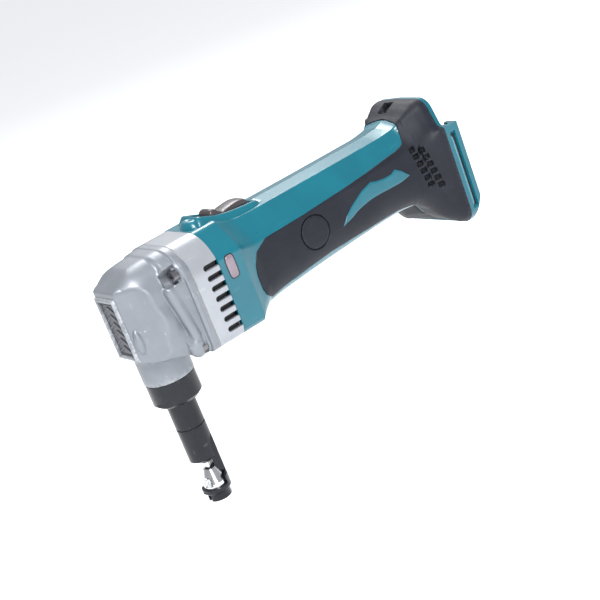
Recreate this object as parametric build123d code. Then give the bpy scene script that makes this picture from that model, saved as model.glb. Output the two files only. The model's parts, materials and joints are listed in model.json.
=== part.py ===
from build123d import *
import math
import os

# A cordless sheet-metal nibbler without its battery, in millimetres.
# +Z is up and the die points down, -X is the cutting direction, +X is the battery end.
# The origin is the cutting point: the centre of the die's top face, on the punch axis.

# ---------------------------------------------------------------- driving dimensions
axis_z = 107.5            # height of the motor and crank axis

# fits
running = 0.04            # radial clearance of a turning or sliding fit
clear = 0.3               # gap between pieces that move past each other
seat = 0.05               # gap all round a piece that is set in a pocket

# head: gear housing, vent ring and the collar of the handle share one section
head_w = 67.0
head_low = 75.5
head_high = 142.3
head_top_r = 22.0
head_low_r = 6.0
nose_x = -20.6            # front of the name plate's frame
flange_x = 15.0           # front of the gear housing's flange
ring_x = 24.0             # joint between gear housing and vent ring
collar_x = 42.5           # joint between vent ring and handle shells
collar_end = 58.7
housing_wall = 3.0
ring_wall = 3.0
edge_round = 0.3          # softened edge at the ring's two joints

# handle
grip_w = 53.0
grip_high = 137.5
skin = 1.6                # depth of the soft grips
shell_gap = 0.1           # each handle shell stops this short of the centre plane

# battery foot
foot_w = 75.0
foot_low = 59.4
foot_high = 148.6
foot_x = 229.0
foot_end = 242.0
foot_rail_top = 127.0
foot_hump_w = 62.0
channel_w = 62.0
channel_mouth_w = 54.0
channel_floor_x = 233.0
lip_t = 3.0
channel_low = 66.0
terminal_w = 34.0
terminal_low = 82.0
terminal_high = 112.0
terminal_out = 2.6        # how far the terminal block stands out of the channel floor
blade_t = 1.2
blade_l = 20.0
blade_out = 4.6
blade_pitch = 20.0

# vents
slot_count = 7
slot_pitch = 6.7
slot_w = 3.6
slot_x = 31.8
slot_mid_z = 104.0

# neck, nut and sleeve
neck_r = 16.3
neck_low = 66.7
neck_top = 92.0
neck_land_top = 75.4     # the plain round land ends here, under the neck's slightly larger root
neck_root_step = 0.4      # the root stands this much proud of the land
nut_step = 0.3            # the lock nut is this much smaller than the land
nut_low = 50.5
nut_gap = 0.3
nut_lip = 1.2
nut_chamfer = 2.2
nut_flat = 14.6           # distance of each spanner flat from the axis
nut_flat_h = 4.4
flat_angle = 31.0         # the flats face this far round from the front
thread_r = 13.5
washer_t = 1.0
flange_r = 12.7
sleeve_low = 57.2
sleeve_r = 11.5
sleeve_top = 91.0

# die holder, die and punch
tube_r = 9.4
tube_bore_r = 6.2
tube_low = 5.2            # lower end of the tube at the punch
tube_cone_h = 3.8
groove_z = 31.8
groove_w = 1.0
groove_d = 0.5
arm_t = 5.6               # thickness of the arm that follows through the cut
arm_x = 3.0               # front of the arm
arm_arc_r = 7.0           # cutter radius at the top of the arm's flats
arm_cut_z = 15.5
arm_top = 13.0
base_top = -6.0
base_low = -15.6
boss_low = -20.6
boss_r = 7.4
boss_slot_w = 3.4
die_r = 7.6
die_top_r = 3.9
die_cone_h = 9.0
die_seat = -12.0
die_spigot_r = 5.5
die_spigot_low = -17.5
cut_r = 2.6               # radius of the punched hole
cut_clear = 0.05
pilot_r = 1.4
punch_edge = 4.7          # height of the punch's cutting edge at rest
pilot_low = -7.0
punch_r = 4.2
punch_top = 70.0
shank_low = 24.0          # lower end of the punch's full diameter
holder_r = 7.0
holder_low = 63.2
stem_r = 3.3              # neck of the yoke, screwed into the punch holder
stem_l = 3.0
die_screw_r = 1.2

# crank and yoke
stroke = 5.5
roller_r = 5.0
roller_w = 5.6
pin_r = 2.6
yoke_slack = 0.65         # slot clearance above and below the roller
yoke_x0 = -4.6
yoke_x1 = 3.4
yoke_w = 25.0
yoke_wall = 3.2
web_x = 4.0
web_t = 2.2
web_r = 8.6
crank_shaft_r = 5.0
crank_bearing_x = 6.8
crank_bearing_w = 6.0
crank_bearing_r = 9.5

# gears
gear_module = 0.75
pinion_teeth = 8
first_teeth = 30
second_pinion_teeth = 9
second_teeth = 29
pressure_angle = 25.0
addendum = 0.75           # of the module
dedendum = 1.05
flank_slack = 0.09        # each tooth is this much thinner at the pitch circle
second_x = 13.4           # front of the second stage
second_w = 4.8
first_x = 18.8            # front of the first stage
first_w = 4.4
layshaft_r = 2.3
bush_r = 3.9
bush_w = 4.4
layshaft_x0 = 7.6
layshaft_x1 = 29.5

# motor
shaft_r = 3.0
rear_shaft_r = 2.5
front_bearing_x = 26.0
front_bearing_w = 6.0
front_bearing_r = 9.5
partition_x = 32.4        # rear face of the ring's bearing wall
fan_x = 33.6
fan_w = 8.4
fan_r = 23.5
fan_blades = 9
yoke_r = 22.2
motor_x0 = 54.0
motor_x1 = 106.0
yoke_t = 2.4
magnet_t = 4.4
magnet_gap = 0.4
rotor_slots = 12
core_x0 = 62.0
core_x1 = 95.0
winding_l = 7.0
winding_step = 2.5        # the end windings are this much smaller than the rotor
commutator_x0 = 108.5
commutator_x1 = 124.5
commutator_r = 9.0
rear_bearing_x = 127.0
rear_bearing_w = 5.0
rear_bearing_r = 6.5

# brushes
brush_x = 117.0
brush_w = 6.0
brush_h = 9.0
brush_out = 20.0          # outer end of the brush, from the axis
holder_wall = 1.4
holder_out = 23.0
spring_r = 1.8
spring_wire = 0.45
cap_r = 7.5
cap_t = 1.6
cover_r = 10.4
cover_t = 1.5

# switch
knob_x0 = 62.0
knob_x1 = 92.0
knob_w = 15.0
knob_low = 137.0
knob_high = 143.6
switch_travel = 6.0
link_w = 8.0
link_t = 2.2
link_z = 131.2
link_foot_l = 6.0
bezel_x0 = 48.0
bezel_x1 = 97.0
bezel_w = 25.0
bezel_high = 146.5
switch_x0 = 146.0
switch_x1 = 180.0
link_x1 = 168.0           # rear end of the sliding bar, over the switch block

# screws: place along X and height of the handle screws, and Y, Z of the head screws
housing_screw_r = 1.9
housing_screw_head_r = 3.6
housing_boss_r = 4.2
screw_sink = 7.0          # depth of a handle screw's seat below the right-hand side
collar_screw_sink = 15.0  # the same in the collar, clear of the head screws
housing_screw_spots = [(49.0, 83.5), (49.0, 134.0), (140.0, 94.5), (198.0, 94.0), (200.0, 121.5),
                       (222.0, 76.0), (222.0, 136.0)]
head_screw_r = 2.0
head_screw_head_r = 3.6
head_screw_x = 17.0
head_screw_end = 54.0
head_screw_spots = [(y * 27.2, z) for y in (-1, 1) for z in (82.0, 128.0)]

# lamp
lamp_x = 50.0
lamp_z = 117.6
lamp_w = 6.2
lamp_h = 15.0
lamp_t = 1.6

# sizes worked out from the ones above
neck_root_r = neck_r + neck_root_step
nut_r = neck_r - nut_step
shaft_offset = gear_module * (pinion_teeth + first_teeth) / 2
lay_z = axis_z + shaft_offset
throw = stroke / 2
flange_low = nut_low + nut_lip + washer_t + 0.3
yoke_low = axis_z + throw - roller_r - yoke_slack - yoke_wall
holder_top = axis_z - crank_bearing_r - 0.8


# ---------------------------------------------------------------- small helpers
def block(x0, x1, y0, y1, z0, z1):
    """Box between two corners."""
    return Pos((x0 + x1) / 2, (y0 + y1) / 2, (z0 + z1) / 2) * Box(x1 - x0, y1 - y0, z1 - z0)


def rod_x(radius, x0, x1, y=0.0, z=axis_z):
    """Cylinder along X."""
    return Pos((x0 + x1) / 2, y, z) * Rot(0, 90, 0) * Cylinder(radius, x1 - x0)


def rod_y(radius, y0, y1, x, z):
    """Cylinder along Y."""
    return Pos(x, (y0 + y1) / 2, z) * Rot(90, 0, 0) * Cylinder(radius, y1 - y0)


def rod_z(radius, z0, z1, x=0.0, y=0.0):
    """Cylinder along Z."""
    return Pos(x, y, (z0 + z1) / 2) * Cylinder(radius, z1 - z0)


def turned_z(profile):
    """Solid of revolution about Z from (radius, height) points."""
    face = make_face(Plane.XZ * Polyline(*profile, close=True))
    return revolve(face, Axis.Z)


def section_wire(x, width, low, high, top_r, low_r, inset=0.0):
    """Outline across the tool at x: flat sides with round upper and lower corners."""
    w = width / 2 - inset
    z0 = low + inset
    z1 = high - inset
    widest = min(w, (z1 - z0) / 2) - 0.4
    rt = min(max(top_r - inset, 0.6), widest)
    rl = min(max(low_r - inset, 0.6), widest)
    k = 1 - math.sqrt(0.5)
    corners = [(w, z0, rl, 1, -1), (w, z1, rt, 1, 1), (-w, z1, rt, -1, 1), (-w, z0, rl, -1, -1)]
    ends = []
    for y, z, r, sy, sz in corners:
        along = ((y - sy * r, z), (y, z - sz * r))
        if sy * sz > 0:
            along = along[::-1]
        ends.append((along[0], (y - sy * k * r, z - sz * k * r), along[1]))
    edges = []
    for i, (start, middle, end) in enumerate(ends):
        following = ends[(i + 1) % len(ends)][0]
        edges.append(Edge.make_three_point_arc((x, *start), (x, *middle), (x, *end)))
        edges.append(Edge.make_line((x, *end), (x, *following)))
    return Wire(edges)


def skin_loft(stations, inset=0.0):
    """Solid through the stations, every face inset by the same amount."""
    wires = [section_wire(*station, inset=inset) for station in stations]
    solids = [Solid.make_loft([a, b], ruled=True) for a, b in zip(wires, wires[1:])]
    return solids[0].fuse(*solids[1:]).clean()


def side_prism(points, y0, y1):
    """Prism across the tool from (x, z) points."""
    face = make_face(Plane.XZ * Polyline(*points, close=True))
    return Pos(0, y1, 0) * extrude(face, y1 - y0, dir=(0, -1, 0))


def involute_gear(teeth, width, x0, z, first_tooth_angle, bore=0.0):
    """Spur gear on an axis along X; one tooth points at first_tooth_angle, from +Y towards +Z."""
    pitch_r = gear_module * teeth / 2
    base_r = pitch_r * math.cos(math.radians(pressure_angle))
    tip_r = pitch_r + addendum * gear_module
    root_r = pitch_r - dedendum * gear_module
    start_r = max(base_r, root_r)

    def involute(radius):
        """Angle that the involute has turned at a radius."""
        a = math.acos(min(1.0, base_r / radius))
        return math.tan(a) - a

    half = (math.pi / 2 - flank_slack / gear_module) / teeth + involute(pitch_r)
    steps = 4
    flank = [start_r + (tip_r - start_r) * i / steps for i in range(steps + 1)]
    points = []
    for n in range(teeth):
        middle = math.radians(first_tooth_angle) + 2 * math.pi * n / teeth
        side = [(r, half - involute(r)) for r in flank]
        if root_r < start_r:
            side.insert(0, (root_r, side[0][1]))
        points += [(r * math.cos(middle - a), r * math.sin(middle - a)) for r, a in side]
        points += [(r * math.cos(middle + a), r * math.sin(middle + a)) for r, a in reversed(side)]
    face = make_face(Plane.YZ * Polyline(*points, close=True))
    gear = Pos(x0, 0, z) * extrude(face, width, dir=(1, 0, 0))
    if bore:
        gear -= rod_x(bore, x0 - 1, x0 + width + 1, 0, z)
    return gear


def bearing(x0, width, outer_r, inner_r):
    """Ball bearing on the motor axis: two races and a ring of shields as one closed piece."""
    ring = rod_x(outer_r, x0, x0 + width) - rod_x(inner_r, x0 - 1, x0 + width + 1)
    depth = width * 0.12
    for face_x in (x0, x0 + width - depth):
        groove = rod_x(outer_r * 0.84, face_x, face_x + depth) - rod_x(inner_r * 1.3, face_x - 1, face_x + 9)
        ring -= groove
    return ring


# ---------------------------------------------------------------- handle shells and grips
def head_station(x, inset=0.0):
    """Section of the head at x, drawn in by an inset."""
    low, high = head_low + inset, head_high - inset
    return (x, head_w - 2 * inset, low, high, head_top_r - inset, head_low_r - inset)


def handle_stations():
    """Sections of the handle from the collar to the battery foot."""
    return [
        head_station(collar_x),
        head_station(collar_end),
        (66.0, head_w - 6, head_low + 0.5, head_high - 3, 23, 14),
        (74.0, grip_w + 3, head_low + 1.2, grip_high + 0.3, 24, 20),
        (90.0, grip_w + 1, head_low + 2.1, grip_high, 25, 22),
        (140.0, grip_w, head_low + 5.2, grip_high, 25, 22),
        (190.0, grip_w, head_low + 6.8, grip_high, 24, 22),
        (205.0, grip_w + 1, head_low + 5.7, grip_high + 0.5, 24, 22),
        (217.0, grip_w + 8, foot_low + 11.5, foot_high - 7.2, 24, 18),
        (foot_x, foot_w - 3, foot_low, foot_high - 0.6, 24, 12),
    ]


def foot_plate():
    """Solid foot block: wide rail zone with a narrower rounded hump above it."""
    rails = [(x, foot_w, foot_low, foot_rail_top, 2.0, 10.0) for x in (foot_x, foot_end)]
    hump = [(x, foot_hump_w, foot_low + 3, foot_high, 22.0, 10.0) for x in (foot_x, channel_floor_x)]
    plate = skin_loft(rails) + skin_loft(hump)
    heel = side_prism([(foot_end + 1, head_low), (foot_end + 1, foot_low - 1), (foot_x + 3, foot_low - 1)],
                      -foot_w, foot_w)
    return plate - heel


def battery_channel():
    """Space that the battery's rails slide into, open at the top and between the lips."""
    inner = block(channel_floor_x, foot_end - lip_t, -channel_w / 2, channel_w / 2,
                  channel_low + 8, foot_high + 5)
    mouth = block(channel_floor_x, foot_end + 5, -channel_mouth_w / 2, channel_mouth_w / 2,
                  channel_low, foot_high + 5)
    return inner + mouth


def side_groove(side):
    """Long groove with a rib in it along each side of the foot."""
    y0, y1 = sorted((side * (foot_w / 2 - 1.6), side * (foot_w / 2 + 1)))
    groove = block(231.5, 237.5, y0, y1, head_low + 1, foot_rail_top - 6)
    y0, y1 = sorted((side * (foot_w / 2 - 1.7), side * (foot_w / 2 - 0.6)))
    return groove - block(233.6, 235.4, y0, y1, head_low + 3, foot_rail_top - 8)


def bezel():
    """Raised rim round the slide switch on top of the collar."""
    outline = [(bezel_x0, head_high - 3), (bezel_x0, bezel_high - 2), (bezel_x0 + 3, bezel_high),
               (bezel_x0 + 11, bezel_high - 1.0), (knob_x1 - 2, grip_high + 2.6), (bezel_x1, grip_high - 1.5)]
    return side_prism(outline, -bezel_w / 2, bezel_w / 2)


def switch_well():
    """Slot in the top that the knob slides in, with its inner window for the link."""
    well = block(knob_x0 - switch_travel - 1.0, knob_x1 + 1.0, -knob_w / 2 - clear, knob_w / 2 + clear,
                 knob_low - 1.0, bezel_high + 5)
    window = block(knob_x0 + 12 - switch_travel - clear, knob_x1 - 8 + clear, -link_w / 2 - clear,
                   link_w / 2 + clear, link_z - 1, bezel_high)
    ears = block(rock_x() - 3 - switch_travel - clear, rock_x() + 3 + clear, -knob_w / 2 - clear,
                 knob_w / 2 + clear, rock_z() - 3.4, bezel_high)
    half = link_w / 2 + clear
    track = block(knob_x0 + 4 - switch_travel - clear, link_x1 + clear, -half, half,
                  link_z - clear, link_z + link_t + clear)
    return well + window + ears + track


def grip_region(side):
    """Side outline of one soft grip, as a prism on that side."""
    points = [(67.2, 108.0), (72.5, 115.8), (81.0, 120.2), (112.0, 120.4), (147.0, 121.8), (170.0, 124.2),
              (196.0, 126.8), (204.5, 132.0), (209.5, 141.0), (211.0, 160.0), (foot_x, 160.0),
              (foot_x, foot_low - 3), (219.0, foot_low - 3), (210.0, 76.5), (201.0, 85.6),
              (188.0, 87.8), (126.0, 88.6), (90.0, 85.0), (74.0, 83.2), (67.0, 89.5), (65.3, 98.6)]
    y0, y1 = sorted((side * shell_gap, side * foot_w))
    return side_prism(points, y0, y1)


def handle_core():
    """Outer body of the handle before it is hollowed and split."""
    return skin_loft(handle_stations()) + foot_plate() + bezel()


def handle_cavity():
    """Inside of the handle, up to the wall behind the battery channel."""
    stations = handle_stations()
    hollow = skin_loft(stations, inset=housing_wall)
    hollow -= block(channel_floor_x - 8, foot_end, -foot_w, foot_w, 0, foot_high + 9)
    return hollow + block(collar_x - 1, collar_x + 0.5, -27, 27, head_low + 8, head_high - 8)


def shell_bosses():
    """Screw bosses and ribs that both handle shells carry inside."""
    bosses = None
    for x, z in housing_screw_spots:
        boss = rod_y(housing_boss_r, -foot_w / 2, foot_w / 2, x, z)
        bosses = boss if bosses is None else bosses + boss
    for y, z in head_screw_spots:
        bosses += rod_x(4.2, collar_x, head_screw_end + 2, y, z)
    for x in (motor_x0 + 6, motor_x1 - 8):
        rib = block(x, x + 2.4, -foot_w / 2, foot_w / 2, head_low, head_high)
        bosses += rib - rod_x(yoke_r + seat, x - 1, x + 4)
    tail = block(rear_bearing_x + 0.2, rear_bearing_x + rear_bearing_w - 0.2, -foot_w / 2, foot_w / 2,
                 axis_z - 16, axis_z + 16)
    bosses += tail - rod_x(rear_bearing_r + seat, rear_bearing_x - 1, rear_bearing_x + 9)
    cradle = block(switch_x0 + 4, switch_x0 + 7, -foot_w / 2, foot_w / 2, axis_z - 24, axis_z + 20)
    bosses += cradle - block(switch_x0, switch_x1, -9.6, 9.6, axis_z - 7.6, axis_z + 30)
    return bosses


def shell_holes():
    """Everything cut out of both handle shells together."""
    cuts = battery_channel() + switch_well()
    cuts += block(channel_floor_x - 9, channel_floor_x + 1, -terminal_w / 2 - seat, terminal_w / 2 + seat,
                  terminal_low - seat, terminal_high + seat)
    for side in (-1, 1):
        cuts += side_groove(side)
        y0, y1 = sorted((side * 12, side * foot_w))
        cuts += rod_y(cap_r + seat, y0, y1, brush_x, axis_z)
        y0, y1 = sorted((side * (grip_w / 2 - skin - cover_t), side * foot_w))
        cuts += rod_y(cover_r + seat, y0, y1, brush_x, axis_z)
    for y, z in head_screw_spots:
        cuts += rod_x(head_screw_r, collar_x - 1, head_screw_end, y, z)
    for row in range(6):
        for column in range(2):
            x = 207.0 + 5.6 * column + 0.9 * row
            z = 119.5 - 5.2 * row - 2.6 * column
            cuts += block(x, x + 3.4, -foot_w, foot_w, z, z + 3.0)
    return cuts


def handle_shell(side, hollow_body, cuts):
    """One moulded half of the handle, split on the centre plane."""
    y0, y1 = sorted((side * shell_gap, side * foot_w))
    half = hollow_body & block(collar_x, foot_end + 1, y0, y1, 0, 200)
    half -= cuts
    if side < 0:
        half -= block(lamp_x - lamp_w / 2 - seat, lamp_x + lamp_w / 2 + seat, -head_w, -head_w / 2 + lamp_t,
                      lamp_z - lamp_h / 2 - seat, lamp_z + lamp_h / 2 + seat)
    for x, z in housing_screw_spots:
        half -= rod_y(housing_screw_r, -14, foot_w, x, z)
        half -= rod_y(housing_screw_head_r + seat, screw_head_y(x), foot_w, x, z)
    return half


def handle_half_width(x):
    """Half the handle's width at x, read between its stations."""
    stations = handle_stations()
    for a, b in zip(stations, stations[1:]):
        if a[0] <= x <= b[0]:
            share = (x - a[0]) / (b[0] - a[0])
            return (a[1] + share * (b[1] - a[1])) / 2
    return foot_w / 2


def screw_head_y(x):
    """Place along Y of a handle screw's seat, under its head."""
    sink = collar_screw_sink if x < collar_end else screw_sink
    return handle_half_width(x) - sink


def handle_and_grips():
    """Both shells and both soft grips."""
    core = handle_core()
    stations = handle_stations()
    under_skin = skin_loft(stations, inset=skin)
    regions = {side: grip_region(side) for side in (-1, 1)}
    cuts = shell_holes()
    inside = handle_cavity() - shell_bosses()
    hollow = core - inside
    shells = {}
    grips = {}
    outer = skin_loft(stations)
    for side in (-1, 1):
        grip = (outer & regions[side]) - under_skin
        grip -= cuts
        for x, z in housing_screw_spots:
            grip -= rod_y(housing_screw_head_r + seat, 0, foot_w, x, z)
        grips[side] = grip
        shell = handle_shell(side, hollow, cuts)
        shells[side] = shell - (regions[side] - under_skin)
    return shells, grips


# ---------------------------------------------------------------- head castings
def vent_ring():
    """Ring between gear housing and handle: bearing wall in front, exhaust slots in its sides."""
    slot_floor_y = head_w / 2 - ring_wall - 0.5
    ends = [(ring_x, edge_round), (ring_x + edge_round, 0), (collar_x - seat - edge_round, 0),
            (collar_x - seat, edge_round)]
    ring = skin_loft([head_station(x, inset) for x, inset in ends])
    hollow = skin_loft([head_station(partition_x), head_station(collar_x + 1)], inset=ring_wall)
    ring -= hollow & rod_x(60, partition_x, collar_x + 1)
    for y, z in head_screw_spots:
        ring += rod_x(4.0, partition_x - 1, collar_x - seat, y, z)
        ring -= rod_x(head_screw_r + 0.2, ring_x - 1, collar_x + 1, y, z)
    for n in range(slot_count):
        z = slot_mid_z + slot_pitch * (n - (slot_count - 1) / 2)
        for y0, y1 in ((-head_w, -slot_floor_y), (slot_floor_y, head_w)):
            ring -= block(slot_x + slot_w / 2, collar_x + 1, y0, y1, z - slot_w / 2, z + slot_w / 2)
            ring -= rod_y(slot_w / 2, y0, y1, slot_x + slot_w / 2, z)
    ring -= rod_x(front_bearing_r + seat, front_bearing_x, partition_x + 1)
    ring -= rod_x(shaft_r + 1.0, ring_x - 1, front_bearing_x + 1)
    ring -= rod_x(bush_r, layshaft_x1 - bush_w - 0.2, layshaft_x1 + 0.4, 0, lay_z)
    ring -= rod_x(layshaft_r + 0.4, ring_x - 1, layshaft_x1, 0, lay_z)
    return ring


def gear_housing():
    """Cast front housing with its flange, tapered nose and round neck."""
    flange = skin_loft([head_station(flange_x), head_station(ring_x - 0.4)])
    body = skin_loft([
        (nose_x, 23.0, 88.0, 129.0, 6, 6),
        (-14.0, 36.0, 85.0, 135.5, 12, 8),
        (-5.0, 47.0, 82.0, 139.5, 17, 10),
        (6.0, 54.0, 77.5, 141.0, 20, 10),
        (flange_x, 62.0, 76.0, 141.8, 21, 8),
    ])
    casting = flange + body + rod_z(neck_root_r, neck_land_top, neck_top)
    casting += rod_z(neck_r, neck_low, neck_land_top)
    for side in (-1, 1):
        y0, y1 = sorted((side * 24.0, side * 30.4))
        casting += block(8.0, 12.0, y0, y1, 88.0, 121.0)
        y0, y1 = sorted((side * 24.0, side * 31.0))
        casting += block(11.0, 16.0, y0, y1, 86.0, 124.0)
    for y, z in head_screw_spots:
        casting -= rod_x(head_screw_head_r + 0.6, 0, head_screw_x, y, z)
        casting -= rod_x(head_screw_r + 0.2, 0, ring_x + 1, y, z)
    for z, radius in ((axis_z, second_teeth / 2), (lay_z, first_teeth / 2)):
        casting -= rod_x(gear_module * (radius + addendum) + 0.8, second_x - 0.6, ring_x + 1, 0, z)
    casting -= rod_x(crank_bearing_r + seat, crank_bearing_x - 0.3, second_x)
    casting -= rod_x(web_r + 1.0, yoke_x0, crank_bearing_x)
    reach = yoke_wall + roller_r + yoke_slack + throw + 1.0
    casting -= block(yoke_x0 - 1.2, crank_bearing_x - 1, -yoke_w / 2 - 0.8, yoke_w / 2 + 0.8,
                     axis_z - reach - throw, axis_z + reach)
    casting -= rod_x(bush_r, layshaft_x0 - 0.4, second_x, 0, lay_z)
    casting -= rod_z(sleeve_r, neck_low - 1, sleeve_top)
    casting -= rod_z(holder_r + 1.2, sleeve_top - 1, axis_z)
    casting -= block(nose_x - 1, nose_x + 1.8, -9.4, 9.4, 90.0, 126.2)
    return casting


def name_plate():
    """Flat plate set in the frame on the nose."""
    plate = block(nose_x + 0.9, nose_x + 1.8, -9.3, 9.3, 90.1, 126.1)
    return plate


def gasket():
    """Thin paper gasket between gear housing and vent ring."""
    sheet = skin_loft([head_station(ring_x - 0.4), head_station(ring_x)], inset=0.5)
    for z, radius in ((axis_z, second_teeth / 2), (lay_z, first_teeth / 2)):
        sheet -= rod_x(gear_module * (radius + addendum) + 0.8, ring_x - 1, ring_x + 1, 0, z)
    for y, z in head_screw_spots:
        sheet -= rod_x(head_screw_r + 0.2, ring_x - 1, ring_x + 1, y, z)
    return sheet


def gear_housing_screws():
    """Four long screws that clamp gear housing and ring to the handle."""
    screws = []
    for y, z in head_screw_spots:
        screw = rod_x(head_screw_r, head_screw_x, head_screw_end, y, z)
        head = rod_x(head_screw_head_r, head_screw_x - 3.6, head_screw_x, y, z)
        socket = block(head_screw_x - 4, head_screw_x - 2, y - 0.6, y + 0.6, z - 2.4, z + 2.4)
        socket += block(head_screw_x - 4, head_screw_x - 2, y - 2.4, y + 2.4, z - 0.6, z + 0.6)
        screws.append(screw + head - socket)
    return Compound(children=screws)


def housing_screws():
    """Seven screws that join the handle shells, with heads on the right-hand side."""
    screws = []
    for x, z in housing_screw_spots:
        head_y = screw_head_y(x)
        screw = rod_y(housing_screw_r, -13.5, head_y + 1, x, z)
        head = rod_y(housing_screw_head_r, head_y, head_y + 2.6, x, z)
        socket = block(x - 0.5, x + 0.5, head_y + 1.4, head_y + 3, z - 2.2, z + 2.2)
        socket += block(x - 2.2, x + 2.2, head_y + 1.4, head_y + 3, z - 0.5, z + 0.5)
        screws.append(screw + head - socket)
    return Compound(children=screws)


# ---------------------------------------------------------------- motor
def motor_yoke():
    """Steel tube that carries the magnets."""
    return rod_x(yoke_r, motor_x0, motor_x1) - rod_x(yoke_r - yoke_t, motor_x0 - 1, motor_x1 + 1)


def magnet(side):
    """Curved magnet above or below the rotor."""
    outer = yoke_r - yoke_t
    shell = rod_x(outer, core_x0 - 2, core_x1 + 2) - rod_x(outer - magnet_t, core_x0 - 3, core_x1 + 3)
    z0, z1 = sorted((axis_z + side * outer * 0.42, axis_z + side * (outer + 1)))
    return shell & block(core_x0 - 3, core_x1 + 3, -outer, outer, z0, z1)


def rotor_radius():
    """Outside of the rotor core, clear of the magnets."""
    return yoke_r - yoke_t - magnet_t - magnet_gap


def rotor_shaft():
    """Motor shaft with the pinion cut on its front end."""
    shaft = rod_x(shaft_r, front_bearing_x - 0.2, rear_bearing_x - 0.3)
    shaft += rod_x(rear_shaft_r, rear_bearing_x - 1, rear_bearing_x + rear_bearing_w)
    shaft += rod_x(gear_module * pinion_teeth / 2 - dedendum * gear_module, first_x, front_bearing_x)
    return shaft + involute_gear(pinion_teeth, first_w, first_x, axis_z, 90)


def rotor_core():
    """Laminated core with its winding slots, open to the outside."""
    radius = rotor_radius()
    core = rod_x(radius, core_x0, core_x1) - rod_x(shaft_r, core_x0 - 1, core_x1 + 1)
    slot = rod_x(1.9, core_x0 - 1, core_x1 + 1, 0, axis_z + radius - 3.6)
    slot += block(core_x0 - 1, core_x1 + 1, -0.6, 0.6, axis_z + radius - 3.6, axis_z + radius + 1)
    spot = Pos(0, 0, axis_z)
    for n in range(rotor_slots):
        turn = spot * Rot(360.0 / rotor_slots * n, 0, 0) * spot.inverse()
        core -= turn * slot
    return core


def rotor_windings():
    """Copper end turns at both ends of the core."""
    coils = []
    winding_r = rotor_radius() - winding_step
    for x0 in (core_x0 - winding_l, core_x1):
        ring = rod_x(winding_r, x0, x0 + winding_l) - rod_x(shaft_r, x0 - 1, x0 + winding_l + 1)
        coils.append(fillet(ring.edges().filter_by(GeomType.CIRCLE).sort_by(SortBy.RADIUS)[-2:], 2.0))
    return Compound(children=coils)


def commutator():
    """Copper commutator behind the windings, slit between its bars."""
    body = rod_x(commutator_r, commutator_x0, commutator_x1)
    body -= rod_x(shaft_r, commutator_x0 - 1, commutator_x1 + 1)
    spot = Pos(0, 0, axis_z)
    slit = block(commutator_x0 - 1, commutator_x1 + 1, -0.3, 0.3, axis_z + commutator_r - 0.6,
                 axis_z + commutator_r + 1)
    for n in range(rotor_slots * 2):
        turn = spot * Rot(180.0 / rotor_slots * n, 0, 0) * spot.inverse()
        body -= turn * slit
    return body


def fan():
    """Radial fan in the vent ring."""
    wheel = rod_x(fan_r, fan_x, fan_x + 1.6) + rod_x(7.0, fan_x, fan_x + fan_w)
    spot = Pos(0, 0, axis_z)
    blade = block(fan_x + 1.0, fan_x + fan_w, -0.7, 0.7, axis_z + 6.0, axis_z + fan_r - 0.4)
    for n in range(fan_blades):
        wheel += spot * Rot(360.0 / fan_blades * n, 0, 0) * spot.inverse() * blade
    return wheel - rod_x(shaft_r, fan_x - 1, fan_x + fan_w + 1)


def brush_parts(side):
    """Holder, brush, spring, cap and soft cover of one side, from the commutator outwards."""
    def span(a, b):
        """Y limits of a piece between two distances from the axis."""
        return sorted((side * a, side * b))

    inner = commutator_r + 1.2
    half_w = brush_w / 2
    half_h = brush_h / 2
    y0, y1 = span(inner, holder_out - cap_t)
    holder = block(brush_x - half_w - holder_wall, brush_x + half_w + holder_wall, y0, y1,
                   axis_z - half_h - holder_wall, axis_z + half_h + holder_wall)
    y0, y1 = span(inner - 1, holder_out + 1)
    holder -= block(brush_x - half_w - running, brush_x + half_w + running, y0, y1,
                    axis_z - half_h - running, axis_z + half_h + running)
    y0, y1 = span(commutator_r + 0.25, brush_out - 4)
    brush = block(brush_x - half_w, brush_x + half_w, y0, y1, axis_z - half_h, axis_z + half_h)
    brush -= rod_x(commutator_r + 0.25, brush_x - 9, brush_x + 9)
    y0, y1 = span(brush_out - 4, holder_out - cap_t)
    spring = rod_y(spring_r + spring_wire, y0, y1, brush_x, axis_z)
    spring -= rod_y(spring_r - spring_wire, y0 - 1, y1 + 1, brush_x, axis_z)
    y0, y1 = span(holder_out - cap_t, holder_out)
    cap = rod_y(cap_r, y0, y1, brush_x, axis_z)
    y0, y1 = span(holder_out - 0.8, holder_out + 1)
    cap -= block(brush_x - 5, brush_x + 5, y0, y1, axis_z - 0.7, axis_z + 0.7)
    edge = grip_w / 2 + 0.15
    y0, y1 = span(edge - skin - cover_t, edge)
    cover = rod_y(cover_r, y0, y1, brush_x, axis_z)
    y0, y1 = span(edge - skin - cover_t - 1, edge - 1.6)
    cover -= rod_y(cap_r + 0.6, y0, y1, brush_x, axis_z)
    return {"brush_holder": holder, "carbon_brush": brush, "brush_spring": spring, "brush_cap": cap,
            "brush_cover": cover}


# ---------------------------------------------------------------- electrics
def switch_body():
    """Sealed slide switch block in the handle."""
    body = block(switch_x0, switch_x1, -9.5, 9.5, axis_z - 7.5, axis_z + 12)
    return body - block(switch_x0 + 6, switch_x1 - 8, -4.6, 4.6, axis_z + 8, axis_z + 13)


def controller_board():
    """Circuit board with its capacitor and power parts, behind the switch."""
    board = block(184.0, 216.0, -14, 14, 104.0, 105.6)
    board += rod_z(4.0, 105.6, 117.0, 192.0, -6.0)
    board += block(198.0, 202.0, 2.0, 11.0, 105.6, 114.0)
    return board + block(206.0, 210.0, 2.0, 11.0, 105.6, 114.0)


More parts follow.
